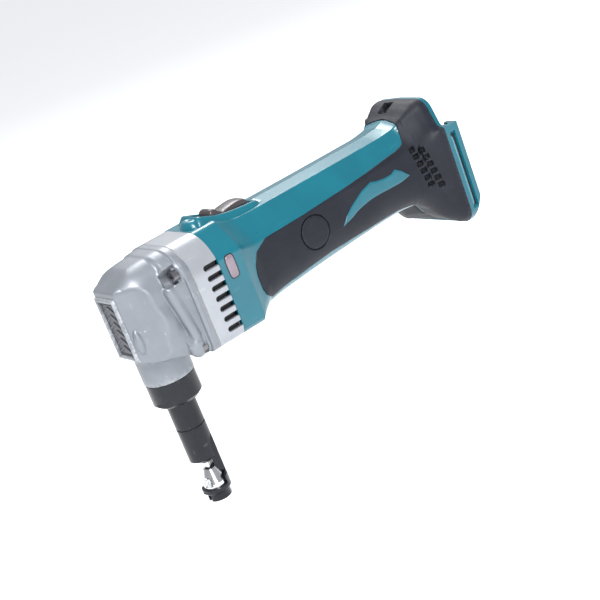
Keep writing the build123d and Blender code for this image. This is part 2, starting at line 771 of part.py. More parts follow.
def terminal_block():
    """Moulded block that holds the battery blades in the channel floor."""
    body = block(channel_floor_x - 8, channel_floor_x + terminal_out, -terminal_w / 2, terminal_w / 2,
                 terminal_low, terminal_high)
    for y in (-blade_pitch / 2, 0, blade_pitch / 2):
        body -= block(channel_floor_x - 5, channel_floor_x + terminal_out + 1, y - blade_t / 2,
                      y + blade_t / 2, terminal_low + 4, terminal_low + 4 + blade_l)
    return body


def terminal_blade(y, length):
    """Flat blade that the battery's contact grips."""
    blade = block(channel_floor_x - 5, channel_floor_x + terminal_out + blade_out, y - blade_t / 2,
                  y + blade_t / 2, terminal_low + 4 + blade_l - length, terminal_low + 4 + blade_l)
    return blade


def lamp_lens():
    """Clear window of the indicator lamp in the left side of the collar."""
    return block(lamp_x - lamp_w / 2, lamp_x + lamp_w / 2, -head_w / 2 + 0.1, -head_w / 2 + lamp_t,
                 lamp_z - lamp_h / 2, lamp_z + lamp_h / 2)


def lamp_board():
    """Small board with the lamp's light source, inside the wall."""
    wall_y = -head_w / 2 + housing_wall
    board = block(lamp_x - 3.6, lamp_x + 3.6, wall_y, wall_y + 1.2, lamp_z - 7.4, lamp_z + 2)
    return board + rod_y(1.5, wall_y + 1.2, wall_y + 3.0, lamp_x, lamp_z)


# ---------------------------------------------------------------- switch slide
def switch_link():
    """Sliding bar from the knob to the switch block."""
    bar = block(knob_x0 + 4, link_x1, -link_w / 2, link_w / 2, link_z, link_z + link_t)
    bar += block(knob_x0 + 12, knob_x1 - 8, -link_w / 2, link_w / 2, link_z, knob_low + 1.0)
    bar += block(link_x1 - link_foot_l, link_x1, -link_w / 2, link_w / 2, axis_z + 9.0, link_z + link_t)
    return bar - rod_y(1.5 + running, -9, 9, rock_x(), rock_z())


def rock_x():
    """Place along X of the pin that the knob rocks on."""
    return (knob_x0 + 12 + knob_x1 - 8) / 2


def rock_z():
    """Height of the pin that the knob rocks on."""
    return knob_low - 1.6


def switch_knob():
    """Rocking thumb piece on top of the sliding bar."""
    profile = [(knob_x0, knob_low + 3.6), (knob_x0 + 1.0, knob_high + 1.0), (knob_x0 + 4.5, knob_high + 2.0),
               (knob_x0 + 7.0, knob_high - 0.4), (knob_x0 + 12.0, knob_high - 2.2),
               (knob_x0 + 20.0, knob_high - 1.2), (knob_x1 - 4.0, knob_high - 1.6),
               (knob_x1, knob_low + 2.2), (knob_x1, knob_low + 0.8), (knob_x0, knob_low + 0.8)]
    knob = side_prism(profile, -knob_w / 2, knob_w / 2)
    half = link_w / 2 + clear
    knob -= block(knob_x0 + 11, knob_x1 - 7, -half, half, knob_low - 1, knob_low + 2.0)
    for side in (-1, 1):
        y0, y1 = sorted((side * (link_w / 2 + 0.3), side * (knob_w / 2 - 0.6)))
        knob += block(rock_x() - 3.0, rock_x() + 3.0, y0, y1, rock_z() - 2.4, knob_low + 2.0)
    return knob + rod_y(1.5, -link_w / 2 - 1, link_w / 2 + 1, rock_x(), rock_z())


# ---------------------------------------------------------------- gears and crank
def layshaft():
    """Second shaft with its own small pinion."""
    shaft = rod_x(layshaft_r, layshaft_x0, layshaft_x1, 0, lay_z)
    space_down = 270 + 180.0 / second_pinion_teeth
    return shaft + involute_gear(second_pinion_teeth, second_w, second_x, lay_z, space_down)


def layshaft_gear():
    """Large gear driven by the motor pinion."""
    space_down = 270 + 180.0 / first_teeth
    return involute_gear(first_teeth, first_w, first_x, lay_z, space_down, bore=layshaft_r)


def layshaft_bush(x0):
    """Plain bush for one end of the layshaft."""
    return rod_x(bush_r, x0, x0 + bush_w, 0, lay_z) - rod_x(layshaft_r + running, x0 - 1, x0 + 9, 0, lay_z)


def crankshaft():
    """Crank with its web and pin; the pin is at the top of its circle at rest."""
    shaft = rod_x(crank_shaft_r, web_x + web_t, second_x + second_w)
    shaft += rod_x(web_r, web_x, web_x + web_t)
    return shaft + rod_x(pin_r, -roller_w / 2, web_x + 0.5, 0, axis_z + throw)


def crank_gear():
    """Last gear, fixed on the crankshaft."""
    return involute_gear(second_teeth, second_w, second_x, axis_z, 90, bore=crank_shaft_r)


def crank_roller():
    """Roller on the crank pin that drives the yoke."""
    z = axis_z + throw
    return rod_x(roller_r, -roller_w / 2, roller_w / 2, 0, z) - rod_x(pin_r, -9, 9, 0, z)


def yoke_slider():
    """Yoke with its cross slot; it turns the crank's circle into the plunger's stroke."""
    z = axis_z + throw
    half_slot = roller_r + yoke_slack
    half_run = throw + roller_r + 0.6
    half_high = half_slot + yoke_wall
    outer = block(yoke_x0, yoke_x1, -yoke_w / 2, yoke_w / 2, z - half_high, z + half_high)
    outer -= block(yoke_x0 + 1.2, yoke_x1 + 1, -half_run, half_run, z - half_slot, z + half_slot)
    return outer + rod_z(stem_r, holder_top - stem_l, yoke_low + 0.5)


# ---------------------------------------------------------------- plunger, nut and die
def punch_holder():
    """Round plunger that carries the punch, sliding in the sleeve."""
    body = rod_z(holder_r, holder_low, holder_top) - rod_z(stem_r, holder_top - stem_l, holder_top + 1)
    body -= rod_z(punch_r, holder_low - 1, punch_top)
    for z in (holder_low + 14, holder_low + 17):
        body -= rod_z(holder_r + 1, z, z + 0.8) - rod_z(holder_r - 0.4, z - 1, z + 2)
    return body


def punch():
    """Punch: shank, round cutting end and the slim pilot that stays in the die."""
    return turned_z([(0, punch_top), (punch_r, punch_top), (punch_r, shank_low), (cut_r, shank_low - 6.5),
                     (cut_r, punch_edge), (pilot_r, punch_edge), (pilot_r, pilot_low + 0.8),
                     (pilot_r - 0.6, pilot_low), (0, pilot_low)])


def guide_sleeve():
    """Steel sleeve pressed in the neck; its lower end is the thread for the lock nut."""
    sleeve = rod_z(sleeve_r, neck_low - 0.1, sleeve_top - 3.2)
    sleeve += rod_z(thread_r, sleeve_low, neck_low)
    return sleeve - rod_z(holder_r + running, sleeve_low - 1, sleeve_top + 1)


def plunger_seal():
    """Felt ring above the sleeve that keeps grease in."""
    return rod_z(sleeve_r, sleeve_top - 3.2, sleeve_top) - rod_z(holder_r + running, 60, 99)


def lock_nut():
    """Nut that clamps the die holder, with a bevelled lower edge and two spanner flats."""
    top = neck_low - nut_gap
    nut = turned_z([(tube_r + clear, nut_low), (nut_r - nut_chamfer, nut_low),
                    (nut_r, nut_low + nut_chamfer), (nut_r, top), (thread_r + running, top),
                    (thread_r + running, nut_low + nut_lip), (tube_r + clear, nut_low + nut_lip)])
    for turn in (0, 180):
        flat = block(-nut_r - 2, -nut_flat, -nut_r - 1, nut_r + 1, nut_low - 1, nut_low + nut_flat_h)
        nut -= Rot(0, 0, flat_angle + turn) * flat
    return nut


def lock_washer():
    """Washer between the lock nut's lip and the die holder's flange."""
    low = nut_low + nut_lip + seat
    return rod_z(flange_r, low, low + washer_t) - rod_z(tube_r + clear, low - 1, low + 9)


def die_holder():
    """Tube with a flange on top, a slim arm behind the punch and the die's seat below."""
    tube = turned_z([
        (flange_r, sleeve_low - seat),
        (flange_r, flange_low), (tube_r, flange_low), (tube_r, groove_z + groove_w / 2),
        (tube_r - groove_d, groove_z + groove_w / 2), (tube_r - groove_d, groove_z - groove_w / 2),
        (tube_r, groove_z - groove_w / 2), (tube_r, tube_low + tube_cone_h), (cut_r + 1.2, tube_low),
        (0, tube_low), (0, sleeve_low - seat)])
    arm = rod_z(tube_r - 0.1, die_seat, arm_top)
    arm &= block(arm_x, tube_r + 1, -arm_t / 2, arm_t / 2, die_seat, arm_top)
    for side in (-1, 1):
        y0, y1 = sorted((side * arm_t / 2, side * (tube_r + 1)))
        tube -= block(arm_x, tube_r + 1, y0, y1, 0, arm_cut_z)
        tube -= rod_y(arm_arc_r, y0, y1, arm_x + arm_arc_r, arm_cut_z)
    base = turned_z([(0, base_low), (tube_r - 1.2, base_low), (tube_r, base_low + 1.2),
                     (tube_r, base_top - 1), (tube_r - 0.6, base_top), (0, base_top)])
    base -= rod_z(die_r + seat, die_seat, 5)
    base -= block(-tube_r - 1, arm_x + 1.2, -tube_r - 1, tube_r + 1, die_seat, 5)
    boss = rod_z(boss_r, boss_low, base_low + 0.5)
    boss -= block(-boss_r - 1, boss_r + 1, -boss_slot_w / 2, boss_slot_w / 2, boss_low - 1, base_low)
    head = base + boss
    bore = turned_z([(0, tube_low - 1), (cut_r + 0.15, tube_low - 1), (cut_r + 0.15, tube_low + 3.4),
                     (punch_r + clear, tube_low + 5.8), (punch_r + clear, shank_low - 1.0),
                     (tube_bore_r, shank_low + 2.0), (tube_bore_r, sleeve_low + 1), (0, sleeve_low + 1)])
    holder = tube + arm - bore + head
    holder -= rod_z(die_spigot_r + seat, die_spigot_low - 0.2, die_seat + 1)
    holder -= rod_z(cut_r + 0.5, boss_low - 1, die_spigot_low)
    return holder - rod_x(die_screw_r, -tube_r - 1, -die_spigot_r + 0.4, 0, (base_low + die_seat) / 2)


def die():
    """Hardened die: cone with the cutting bore, a flat with a hole on its front and a spigot below."""
    body = turned_z([(cut_r + cut_clear, 0), (die_top_r, 0), (die_r, -die_cone_h), (die_r, die_seat + seat),
                     (die_spigot_r, die_seat + seat), (die_spigot_r, die_spigot_low),
                     (cut_r + 0.4, die_spigot_low), (cut_r + 0.4, -4.0), (cut_r + cut_clear, -3.0)])
    facet = Rot(0, 0, 30) * Pos(-7.3, 0, -5.4) * Rot(0, -22, 0) * Box(4.0, 5.6, 9.0)
    body -= facet
    hole = Rot(0, 0, 30) * Pos(-5.6, 0, -5.2) * Rot(0, 68, 0) * Cylinder(0.9, 4.0)
    body -= hole
    arm_slot = block(arm_x - seat, die_r + 1, -arm_t / 2 - seat, arm_t / 2 + seat, die_seat - 1, 1)
    return body - arm_slot


def die_screw():
    """Grub screw in the front of the base that holds the die's spigot."""
    z = (base_low + die_seat) / 2
    screw = rod_x(die_screw_r, -tube_r + 0.4, -die_spigot_r - seat, 0, z)
    return screw - rod_x(0.6, -tube_r, -tube_r + 1.6, 0, z)


# ---------------------------------------------------------------- write every piece
def pieces():
    """All pieces by node name."""
    shells, grips = handle_and_grips()
    made = {
        "housing_left": shells[-1], "housing_right": shells[1],
        "grip_left": grips[-1], "grip_right": grips[1],
        "vent_ring": vent_ring(), "gear_housing": gear_housing(), "name_plate": name_plate(),
        "gasket": gasket(), "gear_housing_screws": gear_housing_screws(), "housing_screws": housing_screws(),
        "lamp_lens": lamp_lens(), "lamp_board": lamp_board(),
        "motor_yoke": motor_yoke(), "magnet_upper": magnet(1), "magnet_lower": magnet(-1),
        "front_bearing": bearing(front_bearing_x, front_bearing_w, front_bearing_r, shaft_r),
        "rear_bearing": bearing(rear_bearing_x, rear_bearing_w, rear_bearing_r, rear_shaft_r),
        "crank_bearing": bearing(crank_bearing_x, crank_bearing_w, crank_bearing_r, crank_shaft_r),
        "rotor_shaft": rotor_shaft(), "rotor_core": rotor_core(), "rotor_windings": rotor_windings(),
        "commutator": commutator(), "fan": fan(),
        "switch_body": switch_body(), "controller_board": controller_board(),
        "terminal_block": terminal_block(), "terminal_blade_left": terminal_blade(-blade_pitch / 2, blade_l),
        "terminal_blade_right": terminal_blade(blade_pitch / 2, blade_l),
        "signal_blade": terminal_blade(0, 12.0),
        "switch_link": switch_link(), "switch_knob": switch_knob(),
        "layshaft": layshaft(), "layshaft_gear": layshaft_gear(),
        "layshaft_front_bush": layshaft_bush(layshaft_x0 + 0.2),
        "layshaft_rear_bush": layshaft_bush(layshaft_x1 - bush_w - 0.2),
        "crankshaft": crankshaft(), "crank_gear": crank_gear(), "crank_roller": crank_roller(),
        "yoke_slider": yoke_slider(), "punch_holder": punch_holder(), "punch": punch(),
        "guide_sleeve": guide_sleeve(), "plunger_seal": plunger_seal(), "lock_nut": lock_nut(),
        "lock_washer": lock_washer(), "die_holder": die_holder(), "die": die(), "die_screw": die_screw(),
    }
    for side, word in ((-1, "left"), (1, "right")):
        for name, shape in brush_parts(side).items():
            made[f"{name}_{word}"] = shape
    return made


os.makedirs("parts", exist_ok=True)
for node, shape in pieces().items():
    export_step(shape, f"parts/{node}.step")
    print(node, round(shape.volume, 1))
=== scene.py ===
"""Looks of the cordless nibbler: its skins, finishes, studio and camera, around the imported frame."""

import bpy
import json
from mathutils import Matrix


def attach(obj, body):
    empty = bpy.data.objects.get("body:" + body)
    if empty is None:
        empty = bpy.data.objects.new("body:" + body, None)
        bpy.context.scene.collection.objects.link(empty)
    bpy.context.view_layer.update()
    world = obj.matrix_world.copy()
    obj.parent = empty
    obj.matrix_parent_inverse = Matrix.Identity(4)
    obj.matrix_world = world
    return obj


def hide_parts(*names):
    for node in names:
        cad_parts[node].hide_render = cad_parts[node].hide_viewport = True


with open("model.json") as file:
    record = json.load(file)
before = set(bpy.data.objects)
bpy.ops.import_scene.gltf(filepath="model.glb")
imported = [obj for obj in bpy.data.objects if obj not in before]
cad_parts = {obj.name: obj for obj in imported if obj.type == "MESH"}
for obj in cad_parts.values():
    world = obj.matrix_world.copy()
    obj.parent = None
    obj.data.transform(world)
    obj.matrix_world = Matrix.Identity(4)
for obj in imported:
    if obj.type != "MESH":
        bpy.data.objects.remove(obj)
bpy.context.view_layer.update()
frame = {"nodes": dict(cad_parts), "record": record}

import json
import logging
import math
from dataclasses import dataclass, field, replace
from enum import Enum
from typing import Sequence

import bpy
import numpy as np
from mathutils import Matrix

log = logging.getLogger("nibbler")

MM = 0.001                # sizes in this file are millimetres, meshes are metres
CREASE_DEG = 38.0         # edges sharper than this stay crisp

Array = np.ndarray


class Side(Enum):
    """The two sides of the tool; the value is the sign of Y."""

    LEFT = -1
    RIGHT = 1

    @property
    def word(self) -> str:
        """Side's name as it ends a piece's name."""
        return self.name.lower()


class Body(Enum):
    """Bodies of the frame that new pieces ride on."""

    TOOL = "tool"
    SWITCH_THUMB = "switch_thumb"


# ---------------------------------------------------------------- shader groups
class NodeTree:
    """Small helper that adds nodes to a tree and joins them."""

    def __init__(self, tree: bpy.types.NodeTree) -> None:
        """Keeps the tree to build in."""
        self.tree = tree

    def add(self, kind: str, **values) -> bpy.types.Node:
        """Adds a node and sets its properties, or its inputs where the name is an input's.

        Args:
            kind: Blender's node type.
            values: property or input name (spaces as underscores) and its value or a socket to link.

        Returns:
            The node.
        """
        node = self.tree.nodes.new(kind)
        for name, value in values.items():
            if hasattr(node, name) and not isinstance(value, bpy.types.NodeSocket):
                setattr(node, name, value)
                continue
            socket = self.find(node, name)
            if isinstance(value, bpy.types.NodeSocket):
                self.tree.links.new(value, socket)
            else:
                socket.default_value = value
        return node

    @staticmethod
    def find(node: bpy.types.Node, name: str) -> bpy.types.NodeSocket:
        """Input of a node by its name with underscores, or by in0, in1 ... for its place."""
        if name.startswith("in") and name[2:].isdigit():
            return node.inputs[int(name[2:])]
        return node.inputs[name.replace("_", " ")]

    def math(self, operation: str, a, b=0.0, c=0.0, clamp: bool = False) -> bpy.types.NodeSocket:
        """Math node on sockets or numbers.

        Args:
            operation: Blender's name of the operation.
            a: first value or socket.
            b: second value or socket.
            c: third value or socket.
            clamp: keeps the result between 0 and 1.

        Returns:
            The result's socket.
        """
        node = self.add("ShaderNodeMath", operation=operation, use_clamp=clamp, in0=a, in1=b, in2=c)
        return node.outputs[0]

    def ramp(self, value, low: float, high: float, to_low: float = 0.0, to_high: float = 1.0) -> bpy.types.NodeSocket:
        """Linear step between two values, clamped.

        Args:
            value: socket to read.
            low: value at which the step begins.
            high: value at which it ends.
            to_low: result before the step.
            to_high: result after it.

        Returns:
            The result's socket.
        """
        node = self.add("ShaderNodeMapRange", interpolation_type="SMOOTHSTEP", Value=value)
        for name, number in (("From Min", low), ("From Max", high), ("To Min", to_low), ("To Max", to_high)):
            node.inputs[name].default_value = number
        return node.outputs["Result"]

    def noise(self, vector, scale, detail: float = 2.0, rough: float = 0.5) -> bpy.types.NodeSocket:
        """Noise of a scale per metre on a vector."""
        return self.add("ShaderNodeTexNoise", Vector=vector, Scale=scale, Detail=detail,
                        Roughness=rough).outputs["Fac"]


def new_group(name: str, inputs: Sequence[tuple[str, float]],
              outputs: Sequence[str]) -> tuple[NodeTree, dict, dict]:
    """Empty shader group with number inputs and outputs.

    Args:
        name: group's name.
        inputs: name and first value of each input.
        outputs: name of each output.

    Returns:
        The tree's helper, the input sockets by name, and the output sockets by name.
    """
    tree = bpy.data.node_groups.new(name, "ShaderNodeTree")
    for label, value in inputs:
        socket = tree.interface.new_socket(name=label, in_out="INPUT", socket_type="NodeSocketFloat")
        socket.default_value = value
    for label in outputs:
        tree.interface.new_socket(name=label, in_out="OUTPUT", socket_type="NodeSocketFloat")
    kit = NodeTree(tree)
    entry = tree.nodes.new("NodeGroupInput")
    leave = tree.nodes.new("NodeGroupOutput")
    return kit, entry.outputs, leave.inputs


class Effects:
    """Shader groups that several finishes share, each made once."""

    def __init__(self) -> None:
        """Builds every group."""
        self.grain = self.make_grain()
        self.handling = self.make_handling()
        self.wear = self.make_wear()
        self.machining = self.make_machining()

    @staticmethod
    def make_grain() -> bpy.types.NodeTree:
        """Surface grain: fine pebbles of a cell pattern over a soft, wide unevenness.

        Returns:
            Group with Scale (pebbles per metre) and Waviness, giving Height and Tint.
        """
        kit, given, out = new_group("surface_grain", [("Scale", 1500.0), ("Waviness", 0.3)],
                                    ["Height", "Tint"])
        place = kit.add("ShaderNodeTexCoord").outputs["Object"]
        pebble = kit.add("ShaderNodeTexVoronoi", Vector=place, Scale=given["Scale"])
        fine = kit.ramp(pebble.outputs["Distance"], 0.05, 0.75)
        wide = kit.noise(place, 90.0, 3.0)
        height = kit.math("MULTIPLY_ADD", wide, given["Waviness"], fine)
        kit.tree.links.new(height, out["Height"])
        kit.tree.links.new(kit.ramp(kit.noise(place, 38.0, 4.0, 0.6), 0.3, 0.7), out["Tint"])
        return kit.tree

    @staticmethod
    def make_handling() -> bpy.types.NodeTree:
        """Rubbed patches and faint fine scratches from use.

        Returns:
            Group with Amount, giving Roughness (to add) and Scratch (a mask).
        """
        kit, given, out = new_group("handling_marks", [("Amount", 0.1)], ["Roughness", "Scratch"])
        place = kit.add("ShaderNodeTexCoord").outputs["Object"]
        patch = kit.math("SUBTRACT", kit.noise(place, 55.0, 5.0, 0.62), 0.5)
        kit.tree.links.new(kit.math("MULTIPLY", patch, given["Amount"]), out["Roughness"])
        turned = kit.add("ShaderNodeMapping", Vector=place)
        turned.inputs["Scale"].default_value = (40.0, 900.0, 160.0)
        turned.inputs["Rotation"].default_value = (0.4, 0.7, 0.35)
        line = kit.noise(turned.outputs[0], 1.0, 1.0)
        kit.tree.links.new(kit.ramp(line, 0.69, 0.76), out["Scratch"])
        return kit.tree

    @staticmethod
    def make_wear() -> bpy.types.NodeTree:
        """Edges rubbed bright, from how sharply the surface bends there, broken up by noise.

        Returns:
            Group with Start (where wear begins), giving Mask.
        """
        kit, given, out = new_group("edge_wear", [("Start", 0.53)], ["Mask"])
        bend = kit.add("ShaderNodeNewGeometry").outputs["Pointiness"]
        place = kit.add("ShaderNodeTexCoord").outputs["Object"]
        over = kit.math("SUBTRACT", bend, given["Start"])
        patchy = kit.ramp(kit.noise(place, 420.0, 3.0), 0.35, 0.6)
        broken = kit.math("MULTIPLY", kit.ramp(over, 0.0, 0.05), patchy)
        kit.tree.links.new(broken, out["Mask"])
        return kit.tree

    @staticmethod
    def make_machining() -> bpy.types.NodeTree:
        """Fine turning lines round the punch axis, stacked along Z.

        Returns:
            Group with Pitch (lines per metre), giving Height.
        """
        kit, given, out = new_group("turning_lines", [("Pitch", 2600.0)], ["Height"])
        place = kit.add("ShaderNodeTexCoord").outputs["Object"]
        split = kit.add("ShaderNodeSeparateXYZ", Vector=place)
        wobble = kit.math("MULTIPLY", kit.noise(place, 60.0, 2.0), 3.0)
        phase = kit.math("MULTIPLY_ADD", split.outputs["Z"], given["Pitch"], wobble)
        kit.tree.links.new(kit.math("SINE", phase), out["Height"])
        return kit.tree


# ---------------------------------------------------------------- finishes
@dataclass(frozen=True)
class Finish:
    """One finish: a principled surface with grain, rubbed patches and edge wear.

    Colours are linear. `second` is mixed in by a slow tint, `worn` shows at edges and scratches.
    """

    name: str
    colour: tuple[float, float, float]
    second: tuple[float, float, float]
    worn: tuple[float, float, float]
    roughness: float = 0.4
    metallic: float = 0.0
    coat: float = 0.0
    coat_roughness: float = 0.1
    specular: float = 0.5
    pebbles: float = 1500.0
    waviness: float = 0.3
    relief: float = 0.1
    rubbing: float = 0.12
    scratches: float = 0.1
    wear: float = 0.3
    turned: bool = False
    glow: float = 0.0
    shade_pits: bool = False

    def build(self, effects: Effects) -> bpy.types.Material:
        """Makes the material.

        Args:
            effects: shared shader groups.

        Returns:
            The material.
        """
        material = bpy.data.materials.new(self.name)
        material.use_nodes = True
        kit = NodeTree(material.node_tree)
        shader = material.node_tree.nodes["Principled BSDF"]
        shader.inputs["Metallic"].default_value = self.metallic
        shader.inputs["Coat Weight"].default_value = self.coat
        shader.inputs["Coat Roughness"].default_value = self.coat_roughness
        shader.inputs["Specular IOR Level"].default_value = self.specular
        shader.inputs["Emission Color"].default_value = (1.0, 1.0, 1.0, 1.0)
        shader.inputs["Emission Strength"].default_value = self.glow
        grain = kit.add("ShaderNodeGroup", node_tree=effects.grain, Scale=self.pebbles,
                        Waviness=self.waviness)
        marks = kit.add("ShaderNodeGroup", node_tree=effects.handling, Amount=self.rubbing)
        wear = kit.add("ShaderNodeGroup", node_tree=effects.wear)
        base = self.mix(kit, grain.outputs["Tint"], self.colour, self.second)
        edge = kit.math("MULTIPLY", wear.outputs["Mask"], self.wear)
        scratch = kit.math("MULTIPLY", marks.outputs["Scratch"], self.scratches)
        shown = kit.math("MAXIMUM", edge, scratch)
        base = self.mix(kit, shown, base, self.worn)
        # painted shade: hollows of the grip drawn near black through the per-point pit shade attribute
        if self.shade_pits:
            pit_shade = kit.add("ShaderNodeAttribute", attribute_name="pit_shade").outputs["Fac"]
            base = self.mix(kit, pit_shade, base, (0.004, 0.005, 0.006))
        kit.tree.links.new(base, shader.inputs["Base Color"])
        rough = kit.math("ADD", marks.outputs["Roughness"], self.roughness, clamp=True)
        kit.tree.links.new(rough, shader.inputs["Roughness"])
        height = grain.outputs["Height"]
        if self.turned:
            lines = kit.add("ShaderNodeGroup", node_tree=effects.machining)
            height = kit.math("MULTIPLY_ADD", lines.outputs["Height"], 0.6, height)
        bump = kit.add("ShaderNodeBump", Strength=self.relief, Distance=0.00012, Height=height)
        kit.tree.links.new(bump.outputs["Normal"], shader.inputs["Normal"])
        return material

    @staticmethod
    def mix(kit: NodeTree, factor, first, second) -> bpy.types.NodeSocket:
        """Colour mix of two colours or sockets."""
        node = kit.add("ShaderNodeMix", data_type="RGBA")
        for index, value in ((0, factor), (6, first), (7, second)):
            if isinstance(value, bpy.types.NodeSocket):
                kit.tree.links.new(value, node.inputs[index])
            else:
                node.inputs[index].default_value = (*value, 1.0)
        return node.outputs[2]


TEAL = Finish("satin_teal", (0.0, 0.1, 0.14), (0.0, 0.115, 0.158), (0.08, 0.28, 0.34), roughness=0.3,
              coat=0.25, coat_roughness=0.1, pebbles=2600, relief=0.06, wear=0.0)
# painted highlight: a paler copy of the housing teal for the foot rib, standing for the light along its ridge
TEAL_RIB_HIGHLIGHT = Finish("pale_teal_rib", (0.06, 0.2, 0.27), (0.07, 0.22, 0.29), (0.3, 0.5, 0.56), roughness=0.35,
                   coat=0.2, relief=0.05)
RUBBER = Finish("soft_grip", (0.011, 0.0125, 0.019), (0.015, 0.0165, 0.024), (0.04, 0.042, 0.055),
                roughness=0.5, specular=0.2, pebbles=1250, waviness=0.6, relief=0.35, rubbing=0.25,
                scratches=0.15, wear=0.35, shade_pits=True)
# painted shade: a near-black finish for sheets put where slots, grooves, wells and gaps lie in shadow
PAINTED_SHADE = Finish("dark_gap", (0.005, 0.006, 0.008), (0.007, 0.008, 0.01), (0.02, 0.02, 0.02), roughness=0.6,
             wear=0.0)
CAST = Finish("cast_silver", (0.185, 0.2, 0.225), (0.215, 0.23, 0.255), (0.6, 0.62, 0.64), roughness=0.4,
              metallic=0.4, pebbles=1700, waviness=0.8, relief=0.14, rubbing=0.14, wear=0.5)
RING = Finish("ring_silver", (0.3, 0.315, 0.345), (0.33, 0.345, 0.375), (0.8, 0.8, 0.82), roughness=0.3,
              metallic=0.35, coat=0.2, pebbles=2300, relief=0.07, wear=0.3)
PLATE = Finish("plate_dark", (0.05, 0.053, 0.065), (0.07, 0.073, 0.085), (0.5, 0.5, 0.56), roughness=0.34,
               metallic=0.7, pebbles=2000, relief=0.1, wear=0.9)
BLACKED = Finish("black_oxide", (0.006, 0.007, 0.011), (0.009, 0.011, 0.016), (0.3, 0.31, 0.35),
                 roughness=0.2, specular=0.3, pebbles=2400, relief=0.05, wear=0.7, turned=True)
BRIGHT = Finish("ground_steel", (0.6, 0.61, 0.63), (0.68, 0.69, 0.7), (0.85, 0.85, 0.86), roughness=0.2,
                metallic=1.0, pebbles=3000, relief=0.05, wear=0.2, turned=True)
STEEL = Finish("machined_steel", (0.5, 0.5, 0.52), (0.56, 0.56, 0.57), (0.8, 0.8, 0.8), roughness=0.3,
               metallic=1.0, pebbles=2400, relief=0.06, wear=0.2)
ZINC = Finish("zinc_screw", (0.14, 0.14, 0.16), (0.19, 0.19, 0.2), (0.55, 0.55, 0.56), roughness=0.36,
              metallic=0.9, relief=0.06, wear=0.5)
COPPER = Finish("enamelled_copper", (0.5, 0.19, 0.07), (0.58, 0.24, 0.1), (0.8, 0.5, 0.3), roughness=0.32,
                metallic=1.0, relief=0.2)
FERRITE = Finish("ferrite", (0.05, 0.05, 0.052), (0.06, 0.06, 0.06), (0.1, 0.1, 0.1), roughness=0.6,
                 relief=0.2)
CARBON = Finish("pressed_carbon", (0.02, 0.02, 0.02), (0.03, 0.03, 0.03), (0.1, 0.1, 0.1), roughness=0.5)
BRASS = Finish("pressed_brass", (0.62, 0.42, 0.16), (0.68, 0.48, 0.2), (0.85, 0.7, 0.4), roughness=0.26,
               metallic=1.0, relief=0.05)
BLACK_PLASTIC = Finish("black_plastic", (0.012, 0.012, 0.014), (0.018, 0.018, 0.02), (0.06, 0.06, 0.06),
                       roughness=0.42, pebbles=2200, relief=0.12)
KNOB = Finish("switch_knob_brown", (0.035, 0.028, 0.031), (0.045, 0.036, 0.039), (0.2, 0.18, 0.18),
              roughness=0.36,
              coat=0.15, pebbles=2300, relief=0.1)
LENS = Finish("milky_lens", (0.15, 0.12, 0.155), (0.21, 0.155, 0.19), (0.6, 0.5, 0.55), roughness=0.16,
              coat=0.8,
              coat_roughness=0.05, relief=0.02, wear=0.1)
BOARD = Finish("circuit_board", (0.01, 0.11, 0.05), (0.012, 0.14, 0.06), (0.3, 0.3, 0.2), roughness=0.35)
FELT = Finish("felt", (0.3, 0.28, 0.25), (0.34, 0.32, 0.28), (0.4, 0.38, 0.35), roughness=0.9, relief=0.6)
BRONZE = Finish("sintered_bronze", (0.38, 0.22, 0.1), (0.44, 0.26, 0.12), (0.7, 0.5, 0.3), roughness=0.4,
                metallic=1.0, pebbles=3200, relief=0.3)

CAD_FINISHES = {
    "housing_teal": TEAL, "grip_dark": RUBBER, "cast_silver": CAST, "ring_silver": RING, "plate_dark": PLATE,
    "tool_black": BLACKED, "tool_bright": BRIGHT, "screw_dark": ZINC, "steel_plain": STEEL,
    "copper_wire": COPPER, "magnet_dark": FERRITE, "carbon": CARBON, "brass_plain": BRASS,
    "black_plastic": BLACK_PLASTIC, "knob_brown": KNOB, "lens_clear": LENS, "board_green": BOARD,
    "felt_grey": FELT, "bronze": BRONZE,
}


class Wardrobe:
    """Keeps one material for each finish and dresses pieces with it."""

    def __init__(self) -> None:
        """Makes the shared effects; materials follow when first asked for."""
        self.effects = Effects()
        self.made: dict[str, bpy.types.Material] = {}

    def material(self, finish: Finish) -> bpy.types.Material:
        """Material of a finish, made on first use."""
        if finish.name not in self.made:
            self.made[finish.name] = finish.build(self.effects)
        return self.made[finish.name]

    def dress_cad_nodes(self) -> None:
        """Gives every carried-over CAD node the finish of its slot in the record."""
        for part in frame["record"]["subparts"]:
            finish = replace(CAD_FINISHES[part["material_slot"]], wear=0.0)
            finish = replace(finish, name=finish.name + "_plain")
            node = frame["nodes"][part["node"]]
            for place in node.material_slots:
                place.material = self.material(finish)


# ---------------------------------------------------------------- surfaces
def smooth_through(x: Array, knots: Sequence[float], values: Sequence[float]) -> Array:
    """Monotone cubic curve through knots.

    Each span is a cubic with the given ends; the slope at an inner knot is the harmonic mean of the
    slopes of its two chords, or zero where they change sign. Outside the knots the end value holds.

    Args:
        x: where to read the curve.
        knots: rising places.
        values: value at each knot.

    Returns:
        Values with the shape of x.
    """
    k = np.asarray(knots, float)
    v = np.asarray(values, float)
    span = np.diff(k)
    chord = np.diff(v) / span
    product = chord[:-1] * chord[1:]
    total = chord[:-1] + chord[1:]
    inner = np.where(product > 0, 2 * product / np.where(total == 0, 1, total), 0)
    slope = np.concatenate([chord[:1], inner, chord[-1:]])
    at = np.clip(x, k[0], k[-1])
    i = np.clip(np.searchsorted(k, at, side="right") - 1, 0, len(k) - 2)
    h = span[i]
    s = (at - k[i]) / h
    return ((1 + 2 * s) * (1 - s) ** 2 * v[i] + s * (1 - s) ** 2 * h * slope[i]
            + s * s * (3 - 2 * s) * v[i + 1] + s * s * (s - 1) * h * slope[i + 1])


def step(value: Array, low: float, high: float) -> Array:
    """Smooth step from 0 at low to 1 at high, the cubic 3s^2 - 2s^3."""
    s = np.clip((value - low) / (high - low), 0, 1)
    return s * s * (3 - 2 * s)


